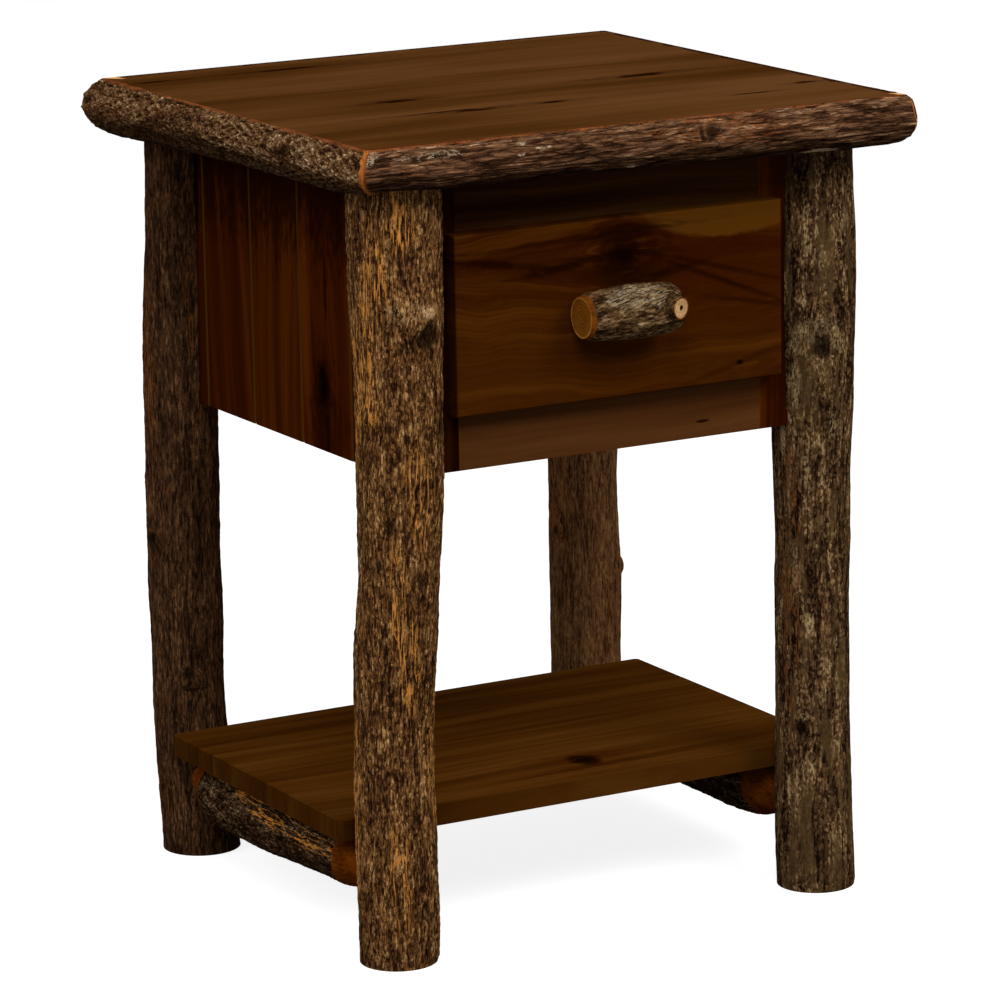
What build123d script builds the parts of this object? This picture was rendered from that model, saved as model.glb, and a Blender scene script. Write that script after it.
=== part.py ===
from build123d import *
import os
from math import cos, radians, sin, sqrt

# Rustic hickory nightstand: bark-on log legs, a plank top edged with mitred half logs,
# a V-grooved case with one dovetailed drawer, and a low shelf on two log stretchers.
#
# Millimetres. +Z is up, +X is to the right of someone facing the drawer, -Y is the front.
# The origin is on the floor, under the centre of the top.

# ---------------------------------------------------------------- driving dimensions

TABLE_HEIGHT = 711.2
TOP_WIDTH = 520.7  # flat top, from bark edge to bark edge
TOP_DEPTH = 506.2
PLANK_THICKNESS = 25.0
PLANK_COUNT = 5
JOINT_EASE = 0.3  # small chamfer along the glued joints of planks and shelf

# Log edging: logs sawn flat on top and ripped down the inner side
EDGE_RADIUS = 27.0
EDGE_TOP_CUT = 4.0  # slice sawn off the top of each log
EDGE_ARRIS = 6.0  # bark shaved off along the mitred corners
DOWEL_RADIUS = 4.0
DOWEL_PAST_BARK_EDGE = 4.0
DOWEL_SPACING = 100.0

# Log legs
LEG_RADIUS = 34.5
FRONT_HEAD_FACTOR = 1.045  # radius of a front leg under the planks, over LEG_RADIUS
REAR_HEAD_FACTOR = 0.94
LEG_SIDE_GAP = 0.8  # between a leg's head and the side edging
FRONT_LEG_SETBACK = 21.8  # between the front edging and a front leg's plain radius
REAR_LEG_GAP = 2.5  # between a rear leg's head and the rear edging
REAR_LEG_LEAN = 14.0  # how far the heads of the rear legs lean forward
FOOT_CHAMFER = 3.0

# Case
CASE_HEIGHT = 264.2
CASE_SIDE_STEP = 2.75  # case side, inboard of the leg axes
FACE_STEP = 12.0  # face frame, in front of the front leg axes
BACK_STEP = 4.0  # case back, in front of the rear leg axes
SIDE_THICKNESS = 19.0
SIDE_BOARD_COUNT = 5
REAR_BOARD_COVER = 50.7  # the boards between the front and the rear one share the rest
FRONT_BOARD_COVER = 62.7
TONGUE_THICKNESS = 6.0
TONGUE_LENGTH = 6.0
V_GROOVE = 2.0
FRAME_THICKNESS = 19.0
STILE_WIDTH = 57.9
BOTTOM_RAIL_HEIGHT = 61.0
TOP_RAIL_HEIGHT = 72.0
TENON_THICKNESS = 6.4
TENON_LENGTH = 20.0
TENON_SHOULDER = 9.0
BACK_THICKNESS = 6.0
BACK_REBATE = 10.0
BACK_RAIL_THICKNESS = 19.0
BACK_RAIL_HEIGHT = 60.0
CLEAT_SIZE = 22.0
BLOCK_MARGIN = 12.5  # packing block above and below a slide

# Shelf and stretchers
SHELF_TOP = 119.0
SHELF_THICKNESS = 19.0
SHELF_OVERHANG = 36.1  # shelf end beyond the leg axes
SHELF_FRONT_GAP = 2.0
SHELF_REAR_GAP = 1.0
SHELF_CORNER_RADIUS = 5.0
SHELF_BOARD_COUNT = 4
STRETCHER_RADIUS = 29.5
STRETCHER_SEAT = 0.7  # slice planed off the log where the shelf lies
STRETCHER_TENON_RADIUS = 16.0
STRETCHER_TENON_SHOW = 4.0
STRETCHER_TENON_PAST_AXIS = 2.0
STRETCHER_CONE = 34.0

# Drawer
DRAWER_FRONT_OVERLAY = 11.2
DRAWER_FRONT_THICKNESS = 19.0
DRAWER_FRONT_EASE = 2.0
DRAWER_FRONT_GAP = 0.5
BOX_WALL = 12.7
BOX_BACK_GAP = 53.0  # between the drawer box and the back panel
BOX_GAP_BELOW = 9.0
BOX_GAP_ABOVE = 12.0
BOTTOM_THICKNESS = 6.0
BOTTOM_RAISE = 10.0
BOTTOM_GROOVE_DEPTH = 5.0
TAIL_COUNT = 3
TAIL_FLARE = 3.0
TAIL_PIN = 8.0  # narrow end of a pin between two tails

# Telescopic slides
SLIDE_HEIGHT = 45.0
SLIDE_THICKNESS = 12.7
SLIDE_SETBACK = 3.0  # behind the front plane of the face frame
SLIDE_SHORTER = 4.0  # than the drawer box
SLIDE_SHEET = 1.2
SLIDE_BOX_GAP = 3.7  # between the case member and the drawer box
SLIDE_LIP_GAP = 0.8  # between a flange's lip and the web that it faces

# Pull: a length of branch with its bark on
PULL_LENGTH = 104.0
PULL_RADIUS = 23.5
PULL_FLAT = 2.0  # slice sawn off the back
PULL_CUT_RADIUS = 20.5
PULL_CHAMFER = 6.5
TWIG_RADIUS = 10.0
TWIG_OFFSET = 33.0
TWIG_RISE = 3.0
TWIG_ANGLE = 18.0
TWIG_PROUD = 1.5
TWIG_TAPER = 6.0

# Fasteners
SCREW_RADIUS = 2.2
SCREW_HEAD_RADIUS = 4.4
SCREW_HEAD_HEIGHT = 2.4
SCREW_HEAD_BEVEL = 1.1
SLIDE_SCREW_HEAD_HEIGHT = 1.6
SCREW_DRIVE_RADIUS = 1.5
SCREW_DRIVE_DEPTH = 1.0
LEG_SCREW_BITE = 17.0
BACK_SCREW_BITE = 13.0
BACK_SCREW_INSET = 56.0
FRONT_SCREW_BITE = 12.0
PULL_SCREW_BITE = 14.0
SCREW_COVER = 8.0  # wood left beyond the tip of a screw
SLIDE_SCREW_COVER = 2.0
SHELF_SCREW_GRIP = 37.0  # log between the head of a screw and the shelf
PULL_SCREW_SPACING = 44.0
SCREW_EDGE_DISTANCE = 14.0

# Clearances
SCREW_GAP = 0.2
FIT_GAP = 0.2
SLIDE_GAP = 0.3
END_GAP = 0.5

# ---------------------------------------------------------------- worked-out places

EDGE_LIP = sqrt(EDGE_RADIUS**2 - (EDGE_RADIUS - EDGE_TOP_CUT) ** 2)
PLANK_HALF_X = TOP_WIDTH / 2 - EDGE_LIP
PLANK_HALF_Y = TOP_DEPTH / 2 - EDGE_LIP
LEG_TOP = TABLE_HEIGHT - PLANK_THICKNESS

LEG_X = PLANK_HALF_X - LEG_SIDE_GAP - LEG_RADIUS * FRONT_HEAD_FACTOR
FRONT_LEG_Y = -PLANK_HALF_Y + FRONT_LEG_SETBACK + LEG_RADIUS
REAR_LEG_Y = PLANK_HALF_Y - REAR_LEG_GAP - LEG_RADIUS * REAR_HEAD_FACTOR + REAR_LEG_LEAN

CASE_X = LEG_X - CASE_SIDE_STEP
FACE_Y = FRONT_LEG_Y - FACE_STEP
FRAME_BACK_Y = FACE_Y + FRAME_THICKNESS
CASE_BACK_Y = REAR_LEG_Y - BACK_STEP
CASE_BOTTOM = LEG_TOP - CASE_HEIGHT
CASE_INNER_X = CASE_X - SIDE_THICKNESS
OPENING_X = CASE_X - STILE_WIDTH
OPENING_BOTTOM = CASE_BOTTOM + BOTTOM_RAIL_HEIGHT
OPENING_TOP = LEG_TOP - TOP_RAIL_HEIGHT
PANEL_FRONT_Y = CASE_BACK_Y - BACK_THICKNESS
BACK_RAIL_FRONT_Y = PANEL_FRONT_Y - BACK_RAIL_THICKNESS

SHELF_BOTTOM = SHELF_TOP - SHELF_THICKNESS
SHELF_X = LEG_X + SHELF_OVERHANG
SHELF_FRONT_Y = FRONT_LEG_Y + LEG_RADIUS + SHELF_FRONT_GAP
SHELF_REAR_Y = REAR_LEG_Y - LEG_RADIUS - SHELF_REAR_GAP
SHELF_BOARD_WIDTH = (SHELF_REAR_Y - SHELF_FRONT_Y) / SHELF_BOARD_COUNT
STRETCHER_Z = SHELF_BOTTOM + STRETCHER_SEAT - STRETCHER_RADIUS
STRETCHER_FRONT_Y = FRONT_LEG_Y - STRETCHER_TENON_PAST_AXIS
STRETCHER_REAR_Y = REAR_LEG_Y + STRETCHER_TENON_PAST_AXIS
CONE_FRONT_Y = FRONT_LEG_Y + LEG_RADIUS + STRETCHER_TENON_SHOW
CONE_REAR_Y = REAR_LEG_Y - LEG_RADIUS - STRETCHER_TENON_SHOW

FRONT_X = OPENING_X + DRAWER_FRONT_OVERLAY
FRONT_BOTTOM = OPENING_BOTTOM - DRAWER_FRONT_OVERLAY
FRONT_TOP = OPENING_TOP + DRAWER_FRONT_OVERLAY
FRONT_HEIGHT = FRONT_TOP - FRONT_BOTTOM
FRONT_BACK_Y = FACE_Y - DRAWER_FRONT_GAP
FRONT_FACE_Y = FRONT_BACK_Y - DRAWER_FRONT_THICKNESS
BOX_X = OPENING_X - SLIDE_THICKNESS
BOX_INNER_X = BOX_X - BOX_WALL
BOX_BOTTOM = OPENING_BOTTOM + BOX_GAP_BELOW
BOX_TOP = OPENING_TOP - BOX_GAP_ABOVE
BOX_HEIGHT = BOX_TOP - BOX_BOTTOM
BOX_BACK_Y = PANEL_FRONT_Y - BOX_BACK_GAP
BOX_LENGTH = BOX_BACK_Y - FRONT_BACK_Y
BOX_MIDDLE_Y = (FRONT_BACK_Y + BOX_BACK_Y) / 2
SLIDE_Z = (BOX_BOTTOM + BOX_TOP) / 2
SLIDE_FRONT_Y = FACE_Y + SLIDE_SETBACK
SLIDE_LENGTH = BOX_LENGTH - SLIDE_SHORTER
SLIDE_MIDDLE_WEB = (SLIDE_THICKNESS - SLIDE_SHEET) / 2
BLOCK_HEIGHT = SLIDE_HEIGHT + 2 * BLOCK_MARGIN
PULL_Z = (FRONT_BOTTOM + FRONT_TOP) / 2
PULL_Y = FRONT_FACE_Y - (PULL_RADIUS - PULL_FLAT)

DOWEL_LENGTH = 2 * (EDGE_LIP + DOWEL_PAST_BARK_EDGE)
LEG_SCREW_LENGTH = SIDE_THICKNESS + LEG_SCREW_BITE
TOP_SCREW_LENGTH = CLEAT_SIZE + PLANK_THICKNESS - SCREW_COVER
BLOCK_SCREW_LENGTH = STILE_WIDTH - SCREW_COVER
BACK_SCREW_LENGTH = BACK_THICKNESS + BACK_SCREW_BITE
SHELF_SCREW_LENGTH = SHELF_SCREW_GRIP + SHELF_THICKNESS - SCREW_COVER
SLIDE_SCREW_LENGTH = SLIDE_SHEET + BOX_WALL - SLIDE_SCREW_COVER
FRONT_SCREW_LENGTH = BOX_WALL + FRONT_SCREW_BITE
PULL_SCREW_LENGTH = BOX_WALL + DRAWER_FRONT_THICKNESS + PULL_SCREW_BITE

# Each leg is a crooked pole, given as sections from the floor up: height over the leg's
# height, then radius and the centre's wander in X and Y, all three over LEG_RADIUS.
REAR_LEAN = REAR_LEG_LEAN / LEG_RADIUS
LEG_SHAPES = {
    "front_left": [
        (0.00, 0.97, -0.045, 0.0),
        (0.12, 0.985, -0.045, 0.0),
        (0.34, 0.995, 0.03, 0.0),
        (0.46, 1.015, 0.115, -0.115),
        (0.60, 1.03, 0.175, -0.26),
        (0.83, 1.115, 0.175, -0.26),
        (1.00, 1.07, 0.175, -0.29),
    ],
    "front_right": [
        (0.00, 1.0, -0.03, -0.145),
        (0.08, 1.0, -0.045, -0.085),
        (0.25, 0.957, 0.0, 0.0),
        (0.45, 0.962, 0.0, 0.0),
        (0.60, 1.02, 0.0, 0.0),
        (0.80, 1.10, 0.015, 0.0),
        (0.93, FRONT_HEAD_FACTOR, 0.0, 0.0),
        (1.00, 0.98 * FRONT_HEAD_FACTOR, 0.0, 0.0),
    ],
    "rear_left": [
        (0.00, 1.03, 0.145, -0.145),
        (0.06, 1.02, 0.10, -0.115),
        (0.18, 0.94, 0.0, 0.0),
        (0.46, 0.957, -0.015, 0.0),
        (0.62, 0.97, 0.0, -0.07),
        (0.86, 0.957, 0.06, -0.7 * REAR_LEAN),
        (1.00, REAR_HEAD_FACTOR, 0.07, -REAR_LEAN),
    ],
    "rear_right": [
        (0.00, 1.0, 0.0, -0.06),
        (0.06, 0.99, 0.0, -0.06),
        (0.18, 0.95, 0.0, 0.0),
        (0.46, 0.96, 0.0, 0.0),
        (0.62, 0.97, 0.0, -0.07),
        (0.86, 0.957, -0.06, -0.7 * REAR_LEAN),
        (1.00, REAR_HEAD_FACTOR, -0.07, -REAR_LEAN),
    ],
}

# Knots swell out of a leg: height over the leg's height, direction seen from above
# in degrees from +X, and the knot's radius over LEG_RADIUS.
LEG_KNOTS = {
    "front_left": [(0.815, -95.0, 0.49), (0.70, 196.0, 0.35)],
    "front_right": [(0.76, -112.0, 0.55), (0.80, 8.0, 0.35), (0.22, -128.0, 0.46)],
    "rear_left": [(0.43, 186.0, 0.41), (0.24, -112.0, 0.46)],
    "rear_right": [(0.30, -10.0, 0.38), (0.36, 190.0, 0.32)],
}
KNOT_SUNK = 0.72  # depth of a knot's centre below the bark, over the knot's radius

LEG_PLACES = {
    "front_left": (-LEG_X, FRONT_LEG_Y),
    "front_right": (LEG_X, FRONT_LEG_Y),
    "rear_left": (-LEG_X, REAR_LEG_Y),
    "rear_right": (LEG_X, REAR_LEG_Y),
}

# Edging logs: radius over EDGE_RADIUS from one end to the other. The front log runs
# from left to right, and the side logs from front to back.
EDGE_SHAPES = {
    "front": (0.88, 0.86, 0.9, 0.95),
    "rear": (1.08, 1.0, 0.97, 0.95),
    "left": (0.9, 0.98, 1.03, 1.1),
    "right": (0.95, 1.0, 0.98, 0.95),
}

# Stretchers: radius over STRETCHER_RADIUS from front to back.
STRETCHER_SHAPES = {
    "left": (0.93, 0.99, 1.06, 1.04),
    "right": (0.98, 1.03, 1.0, 0.95),
}

# The pull: place along its length, radius over PULL_RADIUS.
PULL_SHAPE = ((0.12, 0.97), (0.35, 1.0), (0.62, 1.01), (0.86, 0.95), (0.95, 0.86), (1.0, 0.7))

# Screws along a slide or its block, as shares of the length.
SCREWS_ALONG = (0.12, 0.45, 0.88)

SIDES = {"left": -1, "right": 1}


def save(piece, label):
    """Name a finished piece and write its STEP file."""
    piece.part.label = label
    export_step(piece.part, f"parts/{label}.step")


# ---------------------------------------------------------------- fasteners


def screw_part(length, head_height=SCREW_HEAD_HEIGHT):
    """A pan-head screw: its head seats on z = 0 and its shank runs down."""
    with BuildPart() as screw:
        with BuildSketch(Plane.XZ):
            with BuildLine():
                Polyline(
                    (0, head_height),
                    (SCREW_HEAD_RADIUS - SCREW_HEAD_BEVEL, head_height),
                    (SCREW_HEAD_RADIUS, head_height - SCREW_HEAD_BEVEL),
                    (SCREW_HEAD_RADIUS, 0),
                    (SCREW_RADIUS, 0),
                    (SCREW_RADIUS, -length + 2 * SCREW_RADIUS),
                    (0, -length),
                    close=True,
                )
            make_face()
        revolve(axis=Axis.Z)
        with Locations((0, 0, head_height)):
            Hole(SCREW_DRIVE_RADIUS, depth=SCREW_DRIVE_DEPTH)
    return screw.part


def screw_hole(depth):
    """Cut the hole for a screw at the current locations, from the seat of its head."""
    Hole(SCREW_RADIUS + SCREW_GAP, depth=depth + END_GAP)


def facing(x, y, z, direction):
    """A place on a surface whose outward normal is direction."""
    return Plane(origin=(x, y, z), z_dir=direction).location


def leg_screw_places(corner):
    """Screws from inside the case, through its side, into one leg."""
    side = -1 if corner.endswith("left") else 1
    front = corner.startswith("front")
    y = FRAME_BACK_Y + SCREW_EDGE_DISTANCE if front else CASE_BACK_Y - SCREW_EDGE_DISTANCE
    heights = (CASE_BOTTOM + 2 * SCREW_EDGE_DISTANCE, SLIDE_Z + BLOCK_HEIGHT)
    return [facing(side * CASE_INNER_X, y, z, (-side, 0, 0)) for z in heights]


def top_screw_places(side):
    """Screws up through one cleat into the planks."""
    x = side * (CASE_INNER_X - CLEAT_SIZE / 2)
    z = LEG_TOP - CLEAT_SIZE
    return [facing(x, y, z, (0, 0, -1)) for y in plank_centres() if inside_case(y)]


def inside_case(y):
    """Whether a screw at y clears the face frame and the back rail."""
    return FRAME_BACK_Y + SCREW_EDGE_DISTANCE < y < BACK_RAIL_FRONT_Y - SCREW_EDGE_DISTANCE


def block_screw_places(side):
    """Screws through one slide block into the case side."""
    x = side * OPENING_X
    z = SLIDE_Z + (SLIDE_HEIGHT + BLOCK_MARGIN) / 2
    span = BACK_RAIL_FRONT_Y - FRAME_BACK_Y
    return [facing(x, FRAME_BACK_Y + span * at, z, (-side, 0, 0)) for at in SCREWS_ALONG]


def back_screw_places():
    """Screws through the back panel into the back rail."""
    z = LEG_TOP - BACK_RAIL_HEIGHT / 2
    x = CASE_INNER_X - BACK_SCREW_INSET
    return [facing(x * i, CASE_BACK_Y, z, (0, 1, 0)) for i in (-1, 0, 1)]


def shelf_screw_places(side):
    """Screws up through one stretcher, one into each shelf board."""
    z = SHELF_BOTTOM - SHELF_SCREW_GRIP
    return [facing(side * LEG_X, y, z, (0, 0, -1)) for y in shelf_centres()]


def slide_screw_places(side, x, direction):
    """Screws through one slide member."""
    return [
        facing(x, SLIDE_FRONT_Y + SLIDE_LENGTH * at, SLIDE_Z, (direction * side, 0, 0))
        for at in SCREWS_ALONG
    ]


def case_slide_screws(side):
    return slide_screw_places(side, side * (OPENING_X - SLIDE_SHEET), -1)


def drawer_slide_screws(side):
    return slide_screw_places(side, side * (BOX_X + SLIDE_SHEET), 1)


def front_screw_places():
    """Screws from inside the box into the drawer front."""
    x = BOX_INNER_X - SCREW_EDGE_DISTANCE
    heights = (BOX_BOTTOM + 2 * SCREW_EDGE_DISTANCE, BOX_TOP - SCREW_EDGE_DISTANCE)
    return [facing(i * x, FRONT_BACK_Y + BOX_WALL, z, (0, 1, 0)) for i in (-1, 1) for z in heights]


def pull_screw_places():
    """Screws from inside the box through both fronts into the pull."""
    x = PULL_SCREW_SPACING / 2
    return [facing(i * x, FRONT_BACK_Y + BOX_WALL, PULL_Z, (0, 1, 0)) for i in (-1, 1)]


def screw_group(places_and_lengths, head_height=SCREW_HEAD_HEIGHT):
    """One node of identical or like screws, each a solid of its own."""
    with BuildPart() as group:
        for places, length in places_and_lengths:
            with Locations(*places):
                add(screw_part(length, head_height))
    return group


# ---------------------------------------------------------------- top


def plank_width():
    return 2 * PLANK_HALF_Y / PLANK_COUNT


def plank_centres():
    return [-PLANK_HALF_Y + plank_width() * (i + 0.5) for i in range(PLANK_COUNT)]


def dowel_places():
    """Dowels across the joint between planks and edging, on the plank's middle height."""
    z = TABLE_HEIGHT - PLANK_THICKNESS / 2
    count = int((PLANK_HALF_X - DOWEL_SPACING / 4) // DOWEL_SPACING)
    xs = [i * DOWEL_SPACING for i in range(-count, count + 1)]
    places = [facing(x, s * PLANK_HALF_Y, z, (0, s, 0)) for x in xs for s in (-1, 1)]
    return places + [facing(s * PLANK_HALF_X, y, z, (s, 0, 0)) for y in plank_centres() for s in (-1, 1)]


def cut_dowel_holes():
    with Locations(*dowel_places()):
        Cylinder(DOWEL_RADIUS + FIT_GAP, DOWEL_LENGTH + 2 * END_GAP, mode=Mode.SUBTRACT)


def top_plank(centre):
    """One plank of the top, between the side logs."""
    with BuildPart() as plank:
        with BuildSketch(Plane.XY.offset(LEG_TOP)):
            with Locations((0, centre)):
                Rectangle(2 * PLANK_HALF_X, plank_width())
        extrude(amount=PLANK_THICKNESS)
        top = plank.faces().sort_by(Axis.Z)[-1]
        chamfer(top.edges().filter_by(Axis.X), length=JOINT_EASE)
        cut_dowel_holes()
        for side in SIDES.values():
            with Locations(*top_screw_places(side)):
                screw_hole(TOP_SCREW_LENGTH)
    return plank


def edging_sections(name):
    """Round sections of one edging log. All of them meet the same straight bark edge."""
    factors = EDGE_SHAPES[name]
    along_x = name in ("front", "rear")
    outward = -1 if name in ("front", "left") else 1
    half_run = (TOP_WIDTH if along_x else TOP_DEPTH) / 2 + EDGE_RADIUS
    bark_edge = (TOP_DEPTH if along_x else TOP_WIDTH) / 2
    sections = []
    for index, factor in enumerate(factors):
        radius = EDGE_RADIUS * factor
        lip = sqrt(radius**2 - (radius - EDGE_TOP_CUT) ** 2)
        across = outward * (bark_edge - lip)
        place = -half_run + 2 * half_run * index / (len(factors) - 1)
        height = TABLE_HEIGHT - radius + EDGE_TOP_CUT
        centre = (place, across, height) if along_x else (across, place, height)
        plane = Plane(origin=centre, x_dir=(0, 0, 1), z_dir=(1, 0, 0) if along_x else (0, 1, 0))
        with BuildSketch(plane) as section:
            Circle(radius)
        sections.append(section.sketch)
    return sections


def mitre_plane(x_side, y_side, along_x):
    """The upright mitre at one corner, facing away from the log that is kept."""
    direction = (x_side, -y_side, 0) if along_x else (-x_side, y_side, 0)
    return Plane(origin=(x_side * PLANK_HALF_X, y_side * PLANK_HALF_Y, 0), z_dir=direction)


def edging_log(name):
    """One mitred half log of the edging."""
    along_x = name in ("front", "rear")
    outward = -1 if name in ("front", "left") else 1
    inner = (0, outward * PLANK_HALF_Y, 0) if along_x else (outward * PLANK_HALF_X, 0, 0)
    inward = (0, -outward, 0) if along_x else (-outward, 0, 0)
    corners = [(end, outward) if along_x else (outward, end) for end in (-1, 1)]
    with BuildPart() as log:
        loft(sections=edging_sections(name))
        split(bisect_by=Plane.XY.offset(TABLE_HEIGHT), keep=Keep.BOTTOM)
        split(bisect_by=Plane(origin=inner, z_dir=inward), keep=Keep.BOTTOM)
        for x_side, y_side in corners:
            mitre = mitre_plane(x_side, y_side, along_x)
            split(bisect_by=mitre, keep=Keep.BOTTOM)
            mitre_face = log.faces().sort_by(lambda face: abs(mitre.to_local_coords(face.center()).Z))[0]
            bark_arris = mitre_face.edges().sort_by(SortBy.LENGTH)[-1]
            chamfer(bark_arris, length=EDGE_ARRIS)
        cut_dowel_holes()
    return log


def edging_dowels():
    with BuildPart() as dowels:
        with Locations(*dowel_places()):
            Cylinder(DOWEL_RADIUS, DOWEL_LENGTH)
    return dowels


# ---------------------------------------------------------------- legs


def leg_at(corner, height):
    """Centre and radius of a leg at a share of its height, between its sections."""
    shape = LEG_SHAPES[corner]
    below = max(s for s in shape if s[0] <= height)
    above = min(s for s in shape if s[0] >= height)
    share = 0 if above[0] == below[0] else (height - below[0]) / (above[0] - below[0])
    radius, wander_x, wander_y = [LEG_RADIUS * (b + (a - b) * share) for a, b in zip(above[1:], below[1:])]
    x, y = LEG_PLACES[corner]
    return x + wander_x, y + wander_y, radius


def leg_section(corner, height, z, inset=0.0):
    """A round section of a leg at height z, with the centre and radius of a share of its height."""
    x, y, radius = leg_at(corner, height)
    with BuildSketch(Plane.XY.offset(z)) as section:
        with Locations((x, y)):
            Circle(radius - inset)
    return section.sketch


def leg_sections(corner):
    """Sections of one leg, from the top of its foot chamfer to the underside of the planks."""
    run = LEG_TOP - FOOT_CHAMFER
    return [leg_section(corner, row[0], FOOT_CHAMFER + run * row[0]) for row in LEG_SHAPES[corner]]


def knot_place(corner, height, direction, knot_radius):
    """Centre of a knot, sunk below the bark."""
    x, y, leg_radius = leg_at(corner, height)
    reach = leg_radius - KNOT_SUNK * knot_radius
    return x + reach * cos(radians(direction)), y + reach * sin(radians(direction)), LEG_TOP * height


def leg(corner):
    """A bark-on pole, notched for the case and bored for its stretcher."""
    x_side = -1 if corner.endswith("left") else 1
    front = corner.startswith("front")
    notch_y = FACE_Y if front else CASE_BACK_Y
    notch_align = Align.MIN if front else Align.MAX
    mortise_start = CONE_FRONT_Y if front else CONE_REAR_Y
    mortise_end = STRETCHER_FRONT_Y - END_GAP if front else STRETCHER_REAR_Y + END_GAP
    sections = leg_sections(corner)
    foot = leg_section(corner, 0, 0, inset=FOOT_CHAMFER)
    with BuildPart() as pole:
        loft(sections=sections)
        loft(sections=[foot, sections[0]])
        for height, direction, factor in LEG_KNOTS[corner]:
            with Locations(knot_place(corner, height, direction, LEG_RADIUS * factor)):
                Sphere(LEG_RADIUS * factor)
        with BuildSketch(Plane.XY.offset(CASE_BOTTOM)):
            with Locations((x_side * CASE_X, notch_y)):
                Rectangle(
                    CASE_X,
                    2 * LEG_RADIUS,
                    align=(Align.MAX if x_side > 0 else Align.MIN, notch_align),
                )
        extrude(amount=CASE_HEIGHT, mode=Mode.SUBTRACT)
        with BuildSketch(Plane.XZ.offset(-mortise_start)):
            with Locations((x_side * LEG_X, STRETCHER_Z)):
                Circle(STRETCHER_TENON_RADIUS + FIT_GAP)
        extrude(amount=mortise_start - mortise_end, mode=Mode.SUBTRACT)
        with Locations(*leg_screw_places(corner)):
            screw_hole(LEG_SCREW_LENGTH)
    return pole


# ---------------------------------------------------------------- case


def side_joints():
    """Where the boards of a case side meet, from the back to the front."""
    rear_joint = CASE_BACK_Y - REAR_BOARD_COVER
    middle_cover = (rear_joint - FRAME_BACK_Y - FRONT_BOARD_COVER) / (SIDE_BOARD_COUNT - 2)
    return [rear_joint - i * middle_cover for i in range(SIDE_BOARD_COUNT - 1)]


def side_board(side, front, back, first, last):
    """One tongued and grooved board. Its outer arrises make V-grooves with its neighbours."""
    inner = side * CASE_INNER_X
    middle = side * (CASE_X + CASE_INNER_X) / 2
    with BuildPart() as board:
        with BuildSketch(Plane.XY.offset(CASE_BOTTOM)) as outline:
            with Locations((middle, (front + back) / 2)):
                Rectangle(SIDE_THICKNESS, back - front)
            outer_edge = outline.edges().filter_by(Axis.Y).sort_by(Axis.X)[-1 if side > 0 else 0]
            front_corner, back_corner = outer_edge.vertices().sort_by(Axis.Y)
            if not first:
                chamfer(front_corner, length=V_GROOVE)
            if not last:
                chamfer(back_corner, length=V_GROOVE)
            if not first:
                with Locations((middle, front)):
                    Rectangle(TONGUE_THICKNESS, 2 * TONGUE_LENGTH)
            if not last:
                with Locations((middle, back)):
                    Rectangle(
                        TONGUE_THICKNESS + 2 * FIT_GAP,
                        2 * (TONGUE_LENGTH + END_GAP),
                        mode=Mode.SUBTRACT,
                    )
            else:
                with Locations((inner, back)):
                    Rectangle(2 * BACK_REBATE, 2 * BACK_THICKNESS, mode=Mode.SUBTRACT)
        extrude(amount=CASE_HEIGHT)
        corner_side = "left" if side < 0 else "right"
        for row in ("front", "rear"):
            with Locations(*leg_screw_places(f"{row}_{corner_side}")):
                screw_hole(LEG_SCREW_LENGTH)
        with Locations(*block_screw_places(side)):
            screw_hole(BLOCK_SCREW_LENGTH)
    return board


def rail_tenon(rail_bottom, rail_height, gap=0.0):
    """Both tenons of a face-frame rail, or with a gap, the mortises for them."""
    with BuildPart(mode=Mode.PRIVATE) as tenon:
        with BuildSketch(Plane.XY.offset(rail_bottom + TENON_SHOULDER - gap)):
            with Locations((0, FACE_Y + FRAME_THICKNESS / 2)):
                Rectangle(2 * (OPENING_X + TENON_LENGTH) + 2 * gap, TENON_THICKNESS + 2 * gap)
        extrude(amount=rail_height - 2 * TENON_SHOULDER + 2 * gap)
    return tenon.part


RAILS = {
    "top": (OPENING_TOP, TOP_RAIL_HEIGHT),
    "bottom": (CASE_BOTTOM, BOTTOM_RAIL_HEIGHT),
}


def frame_stile(side):
    """A full-height upright of the face frame, mortised for both rails."""
    with BuildPart() as stile:
        with BuildSketch(Plane.XY.offset(CASE_BOTTOM)):
            with Locations((side * (OPENING_X + CASE_X) / 2, FACE_Y)):
                Rectangle(STILE_WIDTH, FRAME_THICKNESS, align=(Align.CENTER, Align.MIN))
        extrude(amount=CASE_HEIGHT)
        for rail_bottom, rail_height in RAILS.values():
            add(rail_tenon(rail_bottom, rail_height, FIT_GAP), mode=Mode.SUBTRACT)
    return stile


def frame_rail(rail_bottom, rail_height):
    """A rail of the face frame, tenoned into both stiles."""
    with BuildPart() as rail:
        with BuildSketch(Plane.XY.offset(rail_bottom)):
            with Locations((0, FACE_Y)):
                Rectangle(2 * OPENING_X, FRAME_THICKNESS, align=(Align.CENTER, Align.MIN))
        extrude(amount=rail_height)
        add(rail_tenon(rail_bottom, rail_height))
    return rail


def back_panel():
    """A thin panel in the rebates of the case sides."""
    with BuildPart() as panel:
        with BuildSketch(Plane.XY.offset(CASE_BOTTOM)):
            with Locations((0, CASE_BACK_Y)):
                Rectangle(
                    2 * (CASE_INNER_X + BACK_REBATE - FIT_GAP),
                    BACK_THICKNESS,
                    align=(Align.CENTER, Align.MAX),
                )
        extrude(amount=CASE_HEIGHT)
        with Locations(*back_screw_places()):
            screw_hole(BACK_SCREW_LENGTH)
    return panel


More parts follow.
